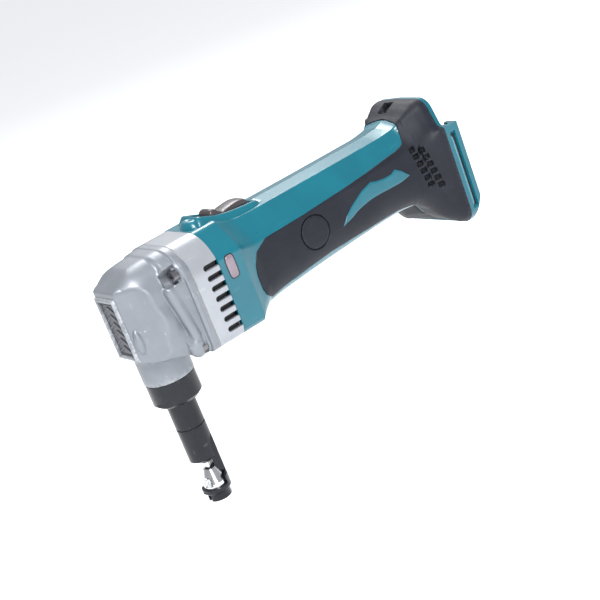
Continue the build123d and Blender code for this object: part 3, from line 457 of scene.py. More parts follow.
def box_mask(u: Array, v: Array, centre: tuple[float, float], size: tuple[float, float],
             edge: float) -> Array:
    """One inside a rectangle and 0 outside, with edges that fall smoothly over a width.

    Args:
        u: first coordinate.
        v: second coordinate.
        centre: rectangle's middle.
        size: its two sides.
        edge: width of the fall.

    Returns:
        The mask, with the shape of u.
    """
    across = step(size[0] / 2 - np.abs(u - centre[0]), -edge / 2, edge / 2)
    return across * step(size[1] / 2 - np.abs(v - centre[1]), -edge / 2, edge / 2)


def disc_mask(u: Array, v: Array, centre: tuple[float, float], radius: float, edge: float) -> Array:
    """One inside a circle and 0 outside, with an edge that falls smoothly over a width."""
    return step(radius - np.hypot(u - centre[0], v - centre[1]), -edge / 2, edge / 2)


def grid_faces(rows: int, columns: int, first: int = 0, wrap: bool = False) -> Array:
    """Quads of a grid of points stored row by row.

    Args:
        rows: number of rows.
        columns: points in a row.
        first: index of the first point.
        wrap: joins the last column to the first.

    Returns:
        Integer array of quads.
    """
    r, c = np.meshgrid(np.arange(rows - 1), np.arange(columns if wrap else columns - 1), indexing="ij")
    n = (c + 1) % columns
    return (first + np.stack([r * columns + c, r * columns + n, (r + 1) * columns + n, (r + 1) * columns + c],
                             -1)).reshape(-1, 4)


def slab(outer: Array, inner: Array) -> tuple[Array, Array]:
    """Closed solid between two grids of the same size, walled along their four borders.

    Args:
        outer: points of the outer face, rows x columns x 3.
        inner: points of the inner face.

    Returns:
        Points and quads.
    """
    rows, columns = outer.shape[:2]
    count = rows * columns
    index = np.arange(count).reshape(rows, columns)
    border = np.concatenate([index[0], index[1:, -1], index[-1, -2::-1], index[-2:0:-1, 0]])
    following = np.roll(border, -1)
    wall = np.stack([border, border + count, following + count, following], -1)
    faces = np.concatenate([grid_faces(rows, columns), grid_faces(rows, columns, count)[:, ::-1], wall])
    return np.concatenate([outer.reshape(-1, 3), inner.reshape(-1, 3)]), faces


def tube(rings: Array) -> tuple[Array, Array]:
    """Closed solid through a row of closed rings, each end closed by a fan to its middle.

    Args:
        rings: points, rings x points x 3.

    Returns:
        Points and faces; each fan's triangle repeats its last point to stay a quad.
    """
    rows, columns = rings.shape[:2]
    points = np.concatenate([rings.reshape(-1, 3), rings[0].mean(0)[None], rings[-1].mean(0)[None]])
    here = np.arange(columns)
    following = (here + 1) % columns
    low = np.stack([np.full(columns, rows * columns), following, here, here], -1)
    last = (rows - 1) * columns
    apex = np.full(columns, rows * columns + 1)
    high = np.stack([apex, last + here, last + following, last + following], -1)
    return points, np.concatenate([grid_faces(rows, columns, wrap=True), low, high])


def volume(points: Array, faces: Array) -> float:
    """Signed volume of a closed mesh: the sum over its triangles of a . (b x c) / 6."""
    total = 0.0
    for order in ((0, 1, 2), (0, 2, 3)):
        a, b, c = (points[faces[:, i]] for i in order)
        total += float(np.einsum("ij,ij->", a, np.cross(b, c))) / 6
    return total


@dataclass
class Piece:
    """A new piece: its mesh in millimetres, its finish, and what it rides on and stands for."""

    name: str
    points: Array
    faces: Array
    finish: Finish
    slot: str
    body: Body = Body.TOOL
    replaces: tuple[str, ...] = ()
    # pit_shade: per-point share of painted shade in the grip's hollows
    pit_shade: Array | None = None
    stage: bool = False

    def make(self, wardrobe: Wardrobe) -> bpy.types.Object:
        """Args:
            wardrobe: where its material comes from.

        Returns:
            The object.
        """
        faces = self.faces if self.stage or volume(self.points, self.faces) > 0 else self.faces[:, ::-1]
        mesh = bpy.data.meshes.new(self.name)
        rows = [tuple(dict.fromkeys(face)) for face in faces.tolist()]
        mesh.from_pydata((self.points * MM).tolist(), [], rows)
        mesh.polygons.foreach_set("use_smooth", np.ones(len(mesh.polygons), bool))
        mesh.update()
        mesh.set_sharp_from_angle(angle=math.radians(CREASE_DEG))
        if self.pit_shade is not None:
            layer = mesh.attributes.new("pit_shade", "FLOAT", "POINT")
            layer.data.foreach_set("value", self.pit_shade.astype(np.float32))
        mesh.materials.append(wardrobe.material(self.finish))
        thing = bpy.data.objects.new(self.name, mesh)
        bpy.context.scene.collection.objects.link(thing)
        if self.stage:
            return thing
        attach(thing, self.body.value)
        if self.replaces:
            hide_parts(*self.replaces)
        log.info("%s: %d points, %d faces", self.name, len(self.points), len(self.faces))
        return thing


# ---------------------------------------------------------------- handle
@dataclass
class HandleForm:
    """Shape of the handle from the collar to the foot.

    A section is a polygon from the top's middle round one side to the bottom's middle, with four
    rounded corners: crease, shoulder, flank and lower corner. Each corner's place and radius run
    along the handle on smooth curves.
    """

    collar_x: float = 42.5
    collar_end: float = 58.7
    floor_x: float = 233.0
    axis_z: float = 107.5
    stations: tuple[float, ...] = (58.7, 66, 74, 90, 140, 190, 205, 214, 221, 227, 233)
    top: tuple[float, ...] = (142.3, 139.2, 137.8, 137.5, 137.4, 137.5, 138.4, 142, 146, 148.2, 148.6)
    crease: tuple[tuple[float, float, float], ...] = (
        (17.5, 142.3, 7), (16, 138.6, 2.5), (14.6, 136.5, 1.0), (14.2, 135.7, 0.7), (14, 135.5, 0.7),
        (14, 135.6, 0.7), (15, 136.8, 2), (18.5, 140.8, 5), (22.5, 144.6, 8), (25.5, 147.2, 9.5),
        (26, 147.6, 10))
    shoulder: tuple[tuple[float, float, float], ...] = (
        (33.5, 126, 6), (29.8, 122.8, 7), (27, 121.2, 6.5), (26.1, 120.8, 6), (25.7, 121.5, 6),
        (25.8, 123, 6), (26.8, 124.6, 7), (29, 127, 8), (30.6, 128.2, 6), (31.2, 128.6, 3), (31.3, 128, 2.5))
    flank: tuple[tuple[float, float, float], ...] = (
        (33.5, 108, 3), (30, 107, 5), (27.7, 106.5, 6), (26.9, 106, 6), (26.5, 106, 6), (26.6, 107, 6),
        (27.8, 108.5, 7), (31.4, 114, 8), (35, 122, 5), (37.1, 126.8, 2.5), (37.5, 127, 1.6))
    lower: tuple[tuple[float, float, float], ...] = (
        (33.5, 75.5, 6), (29.8, 76, 13), (27.6, 77, 19), (26.9, 78.4, 21), (26.5, 81.3, 21), (26.5, 82.9, 21),
        (27.7, 82.0, 20), (31.2, 74.4, 18), (35.2, 64.3, 13), (37.1, 60.2, 10), (37.5, 59.4, 10))
    arch: float = 5.0
    samples: int = 22

    def rim(self, x: Array) -> Array:
        """Outline of one side at each x, from the top's middle to the bottom's middle.

        Straight runs join the corners, and a corner is the circular arc that the rational quadratic
        curve gives: ends a and b on the two runs, middle point at the corner, and the middle's weight
        the cosine of half the turn.

        Args:
            x: places along the handle, one dimension.

        Returns:
            Points y, z: len(x) x samples x 2, with y positive.
        """
        corners = [self.curve(x, [(0.0, z, 0.0) for z in self.top])]
        corners += [self.curve(x, rows) for rows in (self.crease, self.shoulder, self.flank, self.lower)]
        last = corners[-1].copy()
        last[:, 0] = 0.0
        last[:, 1] += self.arch * step(x, 203, 217) * (1 - step(x, 223, 233))
        corners.append(last)
        share = np.linspace(0, 1, self.samples)[None, :, None]
        runs = []
        start = corners[0][:, None, :2]
        for before, corner, after in zip(corners, corners[1:], corners[2:]):
            point = corner[:, None, :2]
            towards = point - before[:, None, :2]
            away = after[:, None, :2] - point
            towards = towards / np.linalg.norm(towards, axis=-1, keepdims=True)
            away = away / np.linalg.norm(away, axis=-1, keepdims=True)
            turn = np.arccos(np.clip((towards * away).sum(-1, keepdims=True), -1, 1))
            reach = corner[:, None, 2:] * np.tan(turn / 2)
            a = point - towards * reach
            b = point + away * reach
            weight = np.cos(turn / 2)
            parts = (1 - share) ** 2, 2 * share * (1 - share) * weight, share ** 2
            arc = (parts[0] * a + parts[1] * point + parts[2] * b) / sum(parts)
            runs += [(start + (a - start) * share)[:, :-1], arc[:, :-1]]
            start = b
        end = corners[-1][:, None, :2]
        runs.append(start + (end - start) * share)
        return np.concatenate(runs, axis=1)

    def curve(self, x: Array, rows: Sequence[tuple[float, float, float]]) -> Array:
        """Corner's y, z and radius at each x."""
        table = np.asarray(rows, float)
        return np.stack([smooth_through(x, self.stations, table[:, i]) for i in range(3)], -1)

    def along(self, x: Array, start: Array, end: Array, count: int) -> Array:
        """Points on the surface between two distances along the outline at each x.

        Args:
            x: places along the handle.
            start: distance from the top's middle where each column begins.
            end: distance where it ends; past the outline's end it is held there.
            count: points in a column.

        Returns:
            len(x) x count x 3, with y positive.
        """
        outline = self.rim(x)
        length = outline_length(outline)
        end = np.minimum(end, length[:, -1])
        want = start[:, None] + (end - start)[:, None] * np.linspace(0, 1, count)[None]
        return np.concatenate([np.repeat(x[:, None, None], count, 1), read_rows(length, outline, want)], -1)

    def distance(self, x: Array, z: Array) -> Array:
        """Distance along the outline from the top's middle to height z, at each x."""
        outline = self.rim(x)
        length = outline_length(outline)
        return read_rows(-outline[..., 1], length[..., None], -z[:, None])[:, 0, 0]

    def half_width(self, x: Array, z: Array) -> Array:
        """Half the handle's width at points x, z on its side."""
        flat_x, flat_z = x.ravel(), z.ravel()
        outline = self.rim(flat_x)
        return read_rows(-outline[..., 1], outline[..., :1], -flat_z[:, None])[:, 0, 0].reshape(x.shape)


def outline_length(outline: Array) -> Array:
    """Distance walked along each row of points, from its first point."""
    strides = np.linalg.norm(np.diff(outline, axis=1), axis=-1)
    return np.concatenate([np.zeros((len(outline), 1)), np.cumsum(strides, axis=1)], axis=1)


def read_rows(rising: Array, values: Array, want: Array) -> Array:
    """Reads each row of a table at the places asked for, in a straight line between its entries.

    Args:
        rising: rows x entries, rising along each row.
        values: rows x entries x parts.
        want: rows x places.

    Returns:
        rows x places x parts.
    """
    above = (rising[:, None, :] < want[:, :, None]).sum(-1)
    above = np.clip(above, 1, rising.shape[1] - 1)
    low = np.take_along_axis(rising, above - 1, 1)
    high = np.take_along_axis(rising, above, 1)
    share = np.clip((want - low) / np.maximum(high - low, 1e-9), 0, 1)[..., None]
    first = np.take_along_axis(values, (above - 1)[..., None].repeat(values.shape[-1], -1), 1)
    second = np.take_along_axis(values, above[..., None].repeat(values.shape[-1], -1), 1)
    return first + (second - first) * share


def face_normals(grid: Array) -> Array:
    """Unit normals of a grid, from the cross product of its two directions, pointing away from the X axis."""
    across = np.cross(np.gradient(grid, axis=0), np.gradient(grid, axis=1))
    across /= np.maximum(np.linalg.norm(across, axis=-1, keepdims=True), 1e-9)
    out = np.sign(np.mean(across[..., 1] * grid[..., 1])) or 1.0
    return across * out


def raised(grid: Array, height: Array, depth: Array) -> tuple[Array, Array]:
    """Closed skin over a grid: its face lies at a height over the surface and its back at a depth below.

    Args:
        grid: points on the surface.
        height: height over it at each point.
        depth: how far below the surface the back lies.

    Returns:
        Points and faces.
    """
    normal = face_normals(grid)
    return slab(grid + normal * height[..., None], grid - normal * depth[..., None])


def rolled_edge(rows: int, columns: int, run: int, ends: tuple[bool, bool, bool, bool]) -> Array:
    """Share of full height over a grid whose borders roll down on a quarter circle.

    Args:
        rows: rows of the grid.
        columns: points in a row.
        run: number of points that the roll takes.
        ends: whether the first row, last row, first column and last column roll.

    Returns:
        Share at each point, from 0 at a rolled border to 1 inside.
    """
    far = run + 0.0
    r, c = np.meshgrid(np.arange(rows), np.arange(columns), indexing="ij")
    lanes = [np.where(on, lane, far) for on, lane in zip(ends, (r, rows - 1 - r, c, columns - 1 - c))]
    near = np.clip(np.minimum.reduce(lanes) / far, 0, 1)
    return np.sqrt(1 - (1 - near) ** 2)


@dataclass
class Handle:
    """Teal handle shells, soft grips, the wave stripe in each grip and the round brush covers."""

    form: HandleForm = field(default_factory=HandleForm)
    wall: float = 2.0
    seam: float = 0.05
    sunk: float = 0.3
    well_front: tuple[float, float] = (51.7, 54.2)
    well_rear: tuple[float, float] = (94.0, 97.0)
    well_half: float = 8.3
    well_floor: float = 130.8
    grip_x: tuple[float, float] = (65.4, 229.8)
    grip_proud: float = 0.45
    grip_columns: int = 340
    grip_rows: int = 140
    upper_edge: tuple[tuple[float, float], ...] = (
        (65.4, 98.8), (65.8, 103.4), (67.6, 109.2), (72.2, 115.4), (82, 120.1), (112.5, 120.4),
        (147.5, 121.8), (169, 123.2), (196, 125.6))
    lower_edge: tuple[tuple[float, float], ...] = (
        (65.4, 98.4), (65.9, 93.0), (67.4, 88.6), (73.5, 83.6), (90, 85.4), (126.4, 88.4), (186, 87.8),
        (201, 85.0), (208, 81.4), (214, 76.2), (219, 69.0))
    tongue: tuple[tuple[float, float], ...] = ((203, 27.5), (208.5, 19), (211.5, 9), (212.6, 0))
    under_x: float = 220.0
    vent_rows: int = 6
    vent_size: tuple[float, float] = (3.5, 3.1)
    latch_hole: tuple[float, float, float, float] = (221.5, 4.0, 8.0, 9.0)
    screw_spots: tuple[tuple[float, float], ...] = ((140.0, 94.5), (198.0, 94.0), (200.0, 121.5),
                                                    (222.0, 76.0), (222.0, 136.0))
    screw_well_r: float = 3.7
    cover_centre: tuple[float, float] = (117.0, 106.6)
    cover_r: float = 10.2
    cover_gap: float = 0.9
    stripe_upper: tuple[tuple[float, float], ...] = (
        (138, 100.7), (143, 105.4), (149, 109.4), (160, 114.6), (168.5, 116.9), (172, 115.6), (180, 114.2),
        (186, 114.3), (189.5, 116), (194, 113), (198.8, 107.8))
    stripe_lower: tuple[tuple[float, float], ...] = (
        (138, 100.4), (146, 102.4), (153.8, 104.9), (167.8, 106.7), (189.9, 106.2), (198.8, 107.4))

    def pieces(self) -> list[Piece]:
        """All pieces of both sides."""
        made = []
        for side in Side:
            made += [self.shell(side), self.grip(side), self.stripe(side), self.cover(side)]
        return made

    def shell(self, side: Side) -> Piece:
        """Moulded half of the handle: the form's whole surface with a wall behind it."""
        f = self.form
        x = np.concatenate([np.linspace(f.collar_x, f.collar_end - 0.3, 12), [f.collar_end - 0.02],
                            np.linspace(f.collar_end + 0.3, 82, 48), np.linspace(83, 196, 60),
                            np.linspace(197.5, f.floor_x, 60)])
        outline = f.rim(x)
        high, low = self.edges(x)
        grid = np.concatenate([np.repeat(x[:, None, None], outline.shape[1], 1), outline], -1)
        normal = face_normals(grid)
        normal[..., 0] *= 0.0
        length = outline_length(outline)
        under = step(length, (high + 0.8)[:, None], (high + 2.8)[:, None])
        under = np.where((high < 0.5)[:, None], 1.0, under)
        under = under * (1 - step(length, (low - 2.8)[:, None], (low - 0.8)[:, None]))
        under *= step(x, self.grip_x[0] + 0.5, self.grip_x[0] + 4)[:, None]
        under *= 1 - step(x, self.grip_x[1] - 2.2, self.grip_x[1] - 0.7)[:, None]
        axis = np.array([0.0, f.axis_z])
        grid[..., 1:] = axis + (grid[..., 1:] - axis) * (1 - self.sunk * under[..., None])
        inner = grid - normal * self.wall
        well = 1 - step(grid[..., 1], self.well_half, self.well_half + 2.2)
        well *= (step(x, *self.well_front) * (1 - step(x, *self.well_rear)))[:, None]
        well = np.where(grid[..., 2] > self.well_floor, well, 0)
        grid[..., 2] += (self.well_floor - grid[..., 2]) * well
        inner[..., 2] = np.where(well > 0, np.minimum(inner[..., 2], grid[..., 2] - 0.8), inner[..., 2])
        inner[..., 2] = np.where(well > 0.9, grid[..., 2] - 0.8, inner[..., 2])
        inner[..., 1] = np.maximum(inner[..., 1], self.seam)
        grid[..., 1] = np.maximum(grid[..., 1], self.seam)
        points, faces = slab(grid, inner)
        points[:, 1] *= side.value
        return Piece(f"handle_shell_{side.word}", points, faces, TEAL, "housing_teal",
                     replaces=(f"housing_{side.word}",))

    def edges(self, x: Array) -> tuple[Array, Array]:
        """Distances along the outline at which the grip begins and ends, at each x."""
        high = self.form.distance(x, np.interp(x, *zip(*self.upper_edge)))
        end_x, end_z = self.upper_edge[-1]
        begin = self.form.distance(np.array([end_x]), np.array([end_z]))[0]
        knots, arcs = zip(*self.tongue)
        high = np.where(x > end_x, smooth_through(x, (end_x, *knots), (begin, *arcs)), high)
        low = self.form.distance(x, np.interp(x, *zip(*self.lower_edge)))
        whole = outline_length(self.form.rim(x))[:, -1]
        return high, low + (whole - low) * step(x, self.under_x - 5, self.under_x)

    def pits(self, x: Array, y: Array, z: Array, side: Side) -> Array:
        """Depth of every hollow in the grip's face: intake vents, latch hole, cover seat, screw wells."""
        on_side = step(np.abs(y), 20, 23)
        depth = np.zeros_like(x)
        for row in range(self.vent_rows):
            for column in range(2):
                centre = (207.0 + 5.6 * column + 0.9 * row, 121.6 - 5.2 * row - 2.6 * column)
                depth = np.maximum(depth, 2.2 * on_side * box_mask(x, z, centre, self.vent_size, 0.7))
        hole_x, hole_y, long, wide = self.latch_hole
        depth = np.maximum(depth, 3.0 * step(z, 134, 138)
                           * box_mask(x, y * side.value, (hole_x, hole_y), (long, wide), 0.8))
        seat = disc_mask(x, z, self.cover_centre, self.cover_r + self.cover_gap, 0.5)
        depth = np.maximum(depth, 1.3 * on_side * seat)
        if side is Side.RIGHT:
            for spot in self.screw_spots:
                well = disc_mask(x, z, spot, self.screw_well_r, 0.6)
                depth = np.maximum(depth, 6.2 * on_side * well)
        return depth

    def grip(self, side: Side) -> Piece:
        """Soft grip: the form's surface between the grip's edges, raised, with rolled borders and pits.

        The columns crowd together at the round front end, where x falls behind an even spread by an amount that rises
        as one less an exponential of the column's share.
        """
        front, rear = self.grip_x
        share = np.linspace(0, 1, self.grip_columns)
        x = front + (rear - front) * (share - (1 - np.exp(-share * 60)) / 60 * 0.92)
        x[-1] = rear
        high, low = self.edges(x)
        grid = self.form.along(x, high, low, self.grip_rows)
        grid[..., 1] = np.maximum(grid[..., 1], self.seam)
        roll = rolled_edge(*grid.shape[:2], 4, (True, False, True, True))
        over_top = (high < 0.5)[:, None] & (np.arange(self.grip_rows) < 5)[None]
        under = (x > self.under_x + 0.5)[:, None] & (np.arange(self.grip_rows) > self.grip_rows - 6)[None]
        roll = np.where(over_top | under, 1.0, roll)
        depth = self.pits(grid[..., 0], grid[..., 1], grid[..., 2], side)
        height = self.grip_proud * (2 * roll - 1) - depth
        points, faces = raised(grid, height, depth + 1.4)
        points[:, 1] = np.maximum(points[:, 1], self.seam)
        points[:, 1] *= side.value
        # painted shade: hollows deeper than about a millimetre, but not the deep screw wells, are marked to be drawn
        # near black
        dark = np.concatenate([step(depth, 0.9, 1.9).ravel() * (depth.ravel() < 5), np.zeros(depth.size)])
        return Piece(f"soft_grip_{side.word}", points, faces, RUBBER, "grip_dark",
                     replaces=(f"grip_{side.word}",), pit_shade=dark)

    def stripe(self, side: Side) -> Piece:
        """Wave-shaped teal inlay in the grip, between an upper and a lower curve."""
        x = np.linspace(self.stripe_upper[0][0], self.stripe_upper[-1][0], 90)
        high = np.interp(x, *zip(*self.stripe_upper))
        low = smooth_through(x, *zip(*self.stripe_lower))
        grid = self.form.along(x, self.form.distance(x, high), self.form.distance(x, low), 16)
        roll = rolled_edge(*grid.shape[:2], 3, (True, True, True, True))
        points, faces = raised(grid, self.grip_proud + 0.28 * roll, np.full(roll.shape, 0.2))
        points[:, 1] *= side.value
        return Piece(f"grip_stripe_{side.word}", points, faces, TEAL, "housing_teal")

    def cover(self, side: Side) -> Piece:
        """Round cover over the brush: a disc that follows the grip, in rings round its middle."""
        round_once = np.linspace(0, 2 * np.pi, 73)[:-1]
        radius, turn = np.meshgrid(np.linspace(0.02, 1, 14) * self.cover_r, round_once, indexing="ij")
        x = self.cover_centre[0] + radius * np.cos(turn)
        z = self.cover_centre[1] + radius * np.sin(turn)
        y = self.form.half_width(x, z) + self.grip_proud
        edge = step(radius, self.cover_r - 0.9, self.cover_r) * 0.4
        top = np.stack([x, y + 0.12 - edge, z], -1)
        back = np.stack([x[-1:], y[-1:] - 1.6, z[-1:]], -1)
        rings = np.concatenate([top, back])
        points, faces = tube(rings)
        points[:, 1] *= side.value
        return Piece(f"brush_cover_disc_{side.word}", points, faces, RUBBER, "grip_dark",
                     replaces=(f"brush_cover_{side.word}",))


# ---------------------------------------------------------------- battery foot
@dataclass
class Foot:
    """Rails round the battery channel, their ribs, and the channel's floor."""

    form: HandleForm
    front: float = 229.9
    rear: float = 242.0
    rail_top: float = 127.0
    half: float = 37.6
    low: float = 59.3
    corner: float = 10.0
    channel_half: float = 31.0
    mouth_half: float = 27.0
    channel_low: float = 74.0
    mouth_low: float = 66.0
    lip: float = 3.0
    groove: tuple[float, float] = (230.3, 237.6)
    groove_z: tuple[float, float] = (68.0, 122.0)
    terminal: tuple[float, float, float] = (17.0, 82.0, 112.0)

    def path(self, count: int) -> tuple[Array, Array]:
        """Line round the rail's outside, from its top down the side, round the corner to the middle below.

        Args:
            count: number of points.

        Returns:
            Points y, z with y positive, and unit directions that point into the foot.
        """
        down = self.rail_top - self.low - self.corner
        quarter = self.corner * math.pi / 2
        run = np.linspace(0, down + quarter + self.half - self.corner, count)
        turn = np.clip((run - down) / self.corner, 0, math.pi / 2)
        y = self.half - self.corner * (1 - np.cos(turn)) - np.clip(run - down - quarter, 0, None)
        z = self.rail_top - np.clip(run, 0, down) - self.corner * np.sin(turn)
        return np.stack([y, z], -1), np.stack([-np.cos(turn), np.sin(turn)], -1)

    def heel(self, x: Array, z: Array) -> Array:
        """Cuts the foot's lower rear edge to its slope."""
        return np.minimum(x, 232.2 + np.clip(z - self.low, 0, None) * 0.62)

    def rail(self, side: Side) -> Piece:
        """One rail: a hooked profile carried along the path, its lip reaching over the channel."""
        line, inward = self.path(110)
        z = line[:, 1]
        side_share = step(z, self.low + 2, self.channel_low + 2)
        wall = (self.channel_low - self.low) + side_share * ((self.half - self.channel_half)
                                                             - (self.channel_low - self.low))
        mouth = (self.mouth_low - self.low) + side_share * ((self.half - self.mouth_half)
                                                            - (self.mouth_low - self.low))
        dip = 1.6 * box_mask(z, z, ((self.groove_z[0] + self.groove_z[1]) / 2,) * 2,
                             (self.groove_z[1] - self.groove_z[0],) * 2, 2.0)
        floor = self.form.floor_x
        g0, g1 = self.groove
        e = 0.35
        corners = [(self.front, 0 * z), (g0, 0 * z), (g0 + e, dip), (g1 - e, dip), (g1, 0 * z),
                   (self.rear - 0.8, 0 * z), (self.rear, 0 * z + 0.8), (self.rear, mouth),
                   (self.rear - self.lip, mouth), (self.rear - self.lip, wall), (floor - 0.4, wall),
                   (floor - 0.4, 0 * z + 5.0), (self.front, 0 * z + 1.2)]
        rings = []
        for x, depth in corners:
            place = line + inward * depth[:, None]
            rings.append(np.stack([self.heel(np.full_like(z, x), place[:, 1]), place[:, 0], place[:, 1]], -1))
        grid = np.stack(rings, 1)
        grid[..., 1] = np.maximum(grid[..., 1], 0.05)
        points, faces = tube(grid)
        points[:, 1] *= side.value
        return Piece(f"foot_rail_{side.word}", points, faces, TEAL, "housing_teal")

    def rib(self, side: Side) -> Piece:
        """Rib in the rail's groove, in a paler teal that paints the highlight along it: a half-round bar that follows
        the rail's side.
        """
        z = np.linspace(self.groove_z[0] + 1.6, self.groove_z[1] - 2.2, 60)
        turn = np.linspace(0, 2 * np.pi, 19)[:-1]
        ends = np.sqrt(np.clip(1 - (2 * np.abs(z - z.mean()) / np.ptp(z)) ** 14, 0.02, 1))
        middle = (self.groove[0] + self.groove[1]) / 2 + 0.1
        x = middle + 1.0 * np.cos(turn)[None] * ends[:, None]
        y = self.half - 1.5 + 1.5 * np.sin(turn)[None] * ends[:, None]
        inset = self.corner - np.sqrt(self.corner ** 2 - np.clip(self.low + self.corner - z, 0, None) ** 2)
        grid = np.stack([x, y - inset[:, None], np.repeat(z[:, None], len(turn), 1)], -1)
        points, faces = tube(grid)
        points[:, 1] *= side.value
        return Piece(f"foot_rib_{side.word}", points, faces, TEAL_RIB_HIGHLIGHT, "housing_teal")

    def groove_shade_strip(self, side: Side) -> Piece:
        """Dark strip in the bottom of the rail's groove, on either side of the rib: painted shade in the groove."""
        z, x = np.meshgrid(np.linspace(self.groove_z[0] + 0.8, self.groove_z[1] - 0.8, 50),
                           np.linspace(self.groove[0] + 0.4, self.groove[1] - 0.4, 4), indexing="ij")
        inset = self.corner - np.sqrt(self.corner ** 2 - np.clip(self.low + self.corner - z, 0, None) ** 2)
        outer = np.stack([x, self.half - 1.5 - inset, z], -1)
        inner = outer - np.array([0, 0.6, 0])
        points, faces = slab(outer, inner)
        points[:, 1] *= side.value
        return Piece(f"foot_groove_{side.word}", points, faces, PAINTED_SHADE, "black_plastic")

    def channel_floor(self) -> Piece:
        """Floor of the battery channel: a ring from the terminal block's edge out to the shell."""
        outline = self.form.rim(np.array([self.form.floor_x]))[0]
        keep = outline[:: 3]
        both = np.concatenate([keep, keep[-2:0:-1] * [-1, 1]])
        centre = np.array([0.0, (self.terminal[1] + self.terminal[2]) / 2])
        away = both - centre
        size = np.array([self.terminal[0] + 0.1, (self.terminal[2] - self.terminal[1]) / 2 + 0.1])
        hole = away / np.max(np.abs(away) / size, axis=1, keepdims=True)
        share = np.linspace(0, 1, 8)[:, None, None]
        flat = centre + hole[None] + (away * 0.985 - hole)[None] * share
        x = self.heel(np.full(flat.shape[:2], self.form.floor_x), flat[..., 1] + 4)
        front = np.concatenate([x[..., None], flat], -1)
        back = front - np.array([1.6, 0, 0])
        rings = np.concatenate([front, back[::-1]])
        faces = grid_faces(len(rings), len(both), wrap=True)
        count = len(both)
        here = np.arange(count)
        following = (here + 1) % count
        last = (len(rings) - 1) * count
        closing = np.stack([last + here, last + following, following, here], -1)
        faces = np.concatenate([faces, closing])
        return Piece("channel_floor", rings.reshape(-1, 3), faces, TEAL, "housing_teal")

    def pieces(self) -> list[Piece]:
        """All pieces of the foot."""
        made = [self.channel_floor()]
        for side in Side:
            made += [self.rail(side), self.rib(side), self.groove_shade_strip(side)]
        return made


# ---------------------------------------------------------------- head
def soft_max(a: Array, b: Array, blend: float) -> Array:
    """Larger of two fields with a rounded corner: b + (a - b) h + blend h (1 - h), h rising over the blend."""
    h = np.clip(0.5 + 0.5 * (a - b) / blend, 0, 1)
    return b + (a - b) * h + blend * h * (1 - h)


def soft_min(a: Array, b: Array, blend: float) -> Array:
    """Smaller of two fields with the corner between them rounded."""
    return -soft_max(-a, -b, blend)


def capsule(p: Array, a: Sequence[float], b: Sequence[float], ra: float, rb: float) -> Array:
    """Distance to a bar with round ends from a to b, its radius going from ra to rb."""
    a, b = np.asarray(a, float), np.asarray(b, float)
    share = np.clip(((p - a) @ (b - a)) / ((b - a) @ (b - a)), 0, 1)
    near = a + share[..., None] * (b - a)
    return np.linalg.norm(p - near, axis=-1) - (ra + (rb - ra) * share)


def ellipsoid(p: Array, centre: Sequence[float], radii: Sequence[float]) -> Array:
    """Near distance to an ellipsoid: its scaled radius k0 gives k0 (k0 - 1) / |p / r^2|."""
    q = p - np.asarray(centre, float)
    k0 = np.linalg.norm(q / radii, axis=-1)
    k1 = np.linalg.norm(q / np.square(radii), axis=-1)
    return k0 * (k0 - 1) / np.maximum(k1, 1e-6)


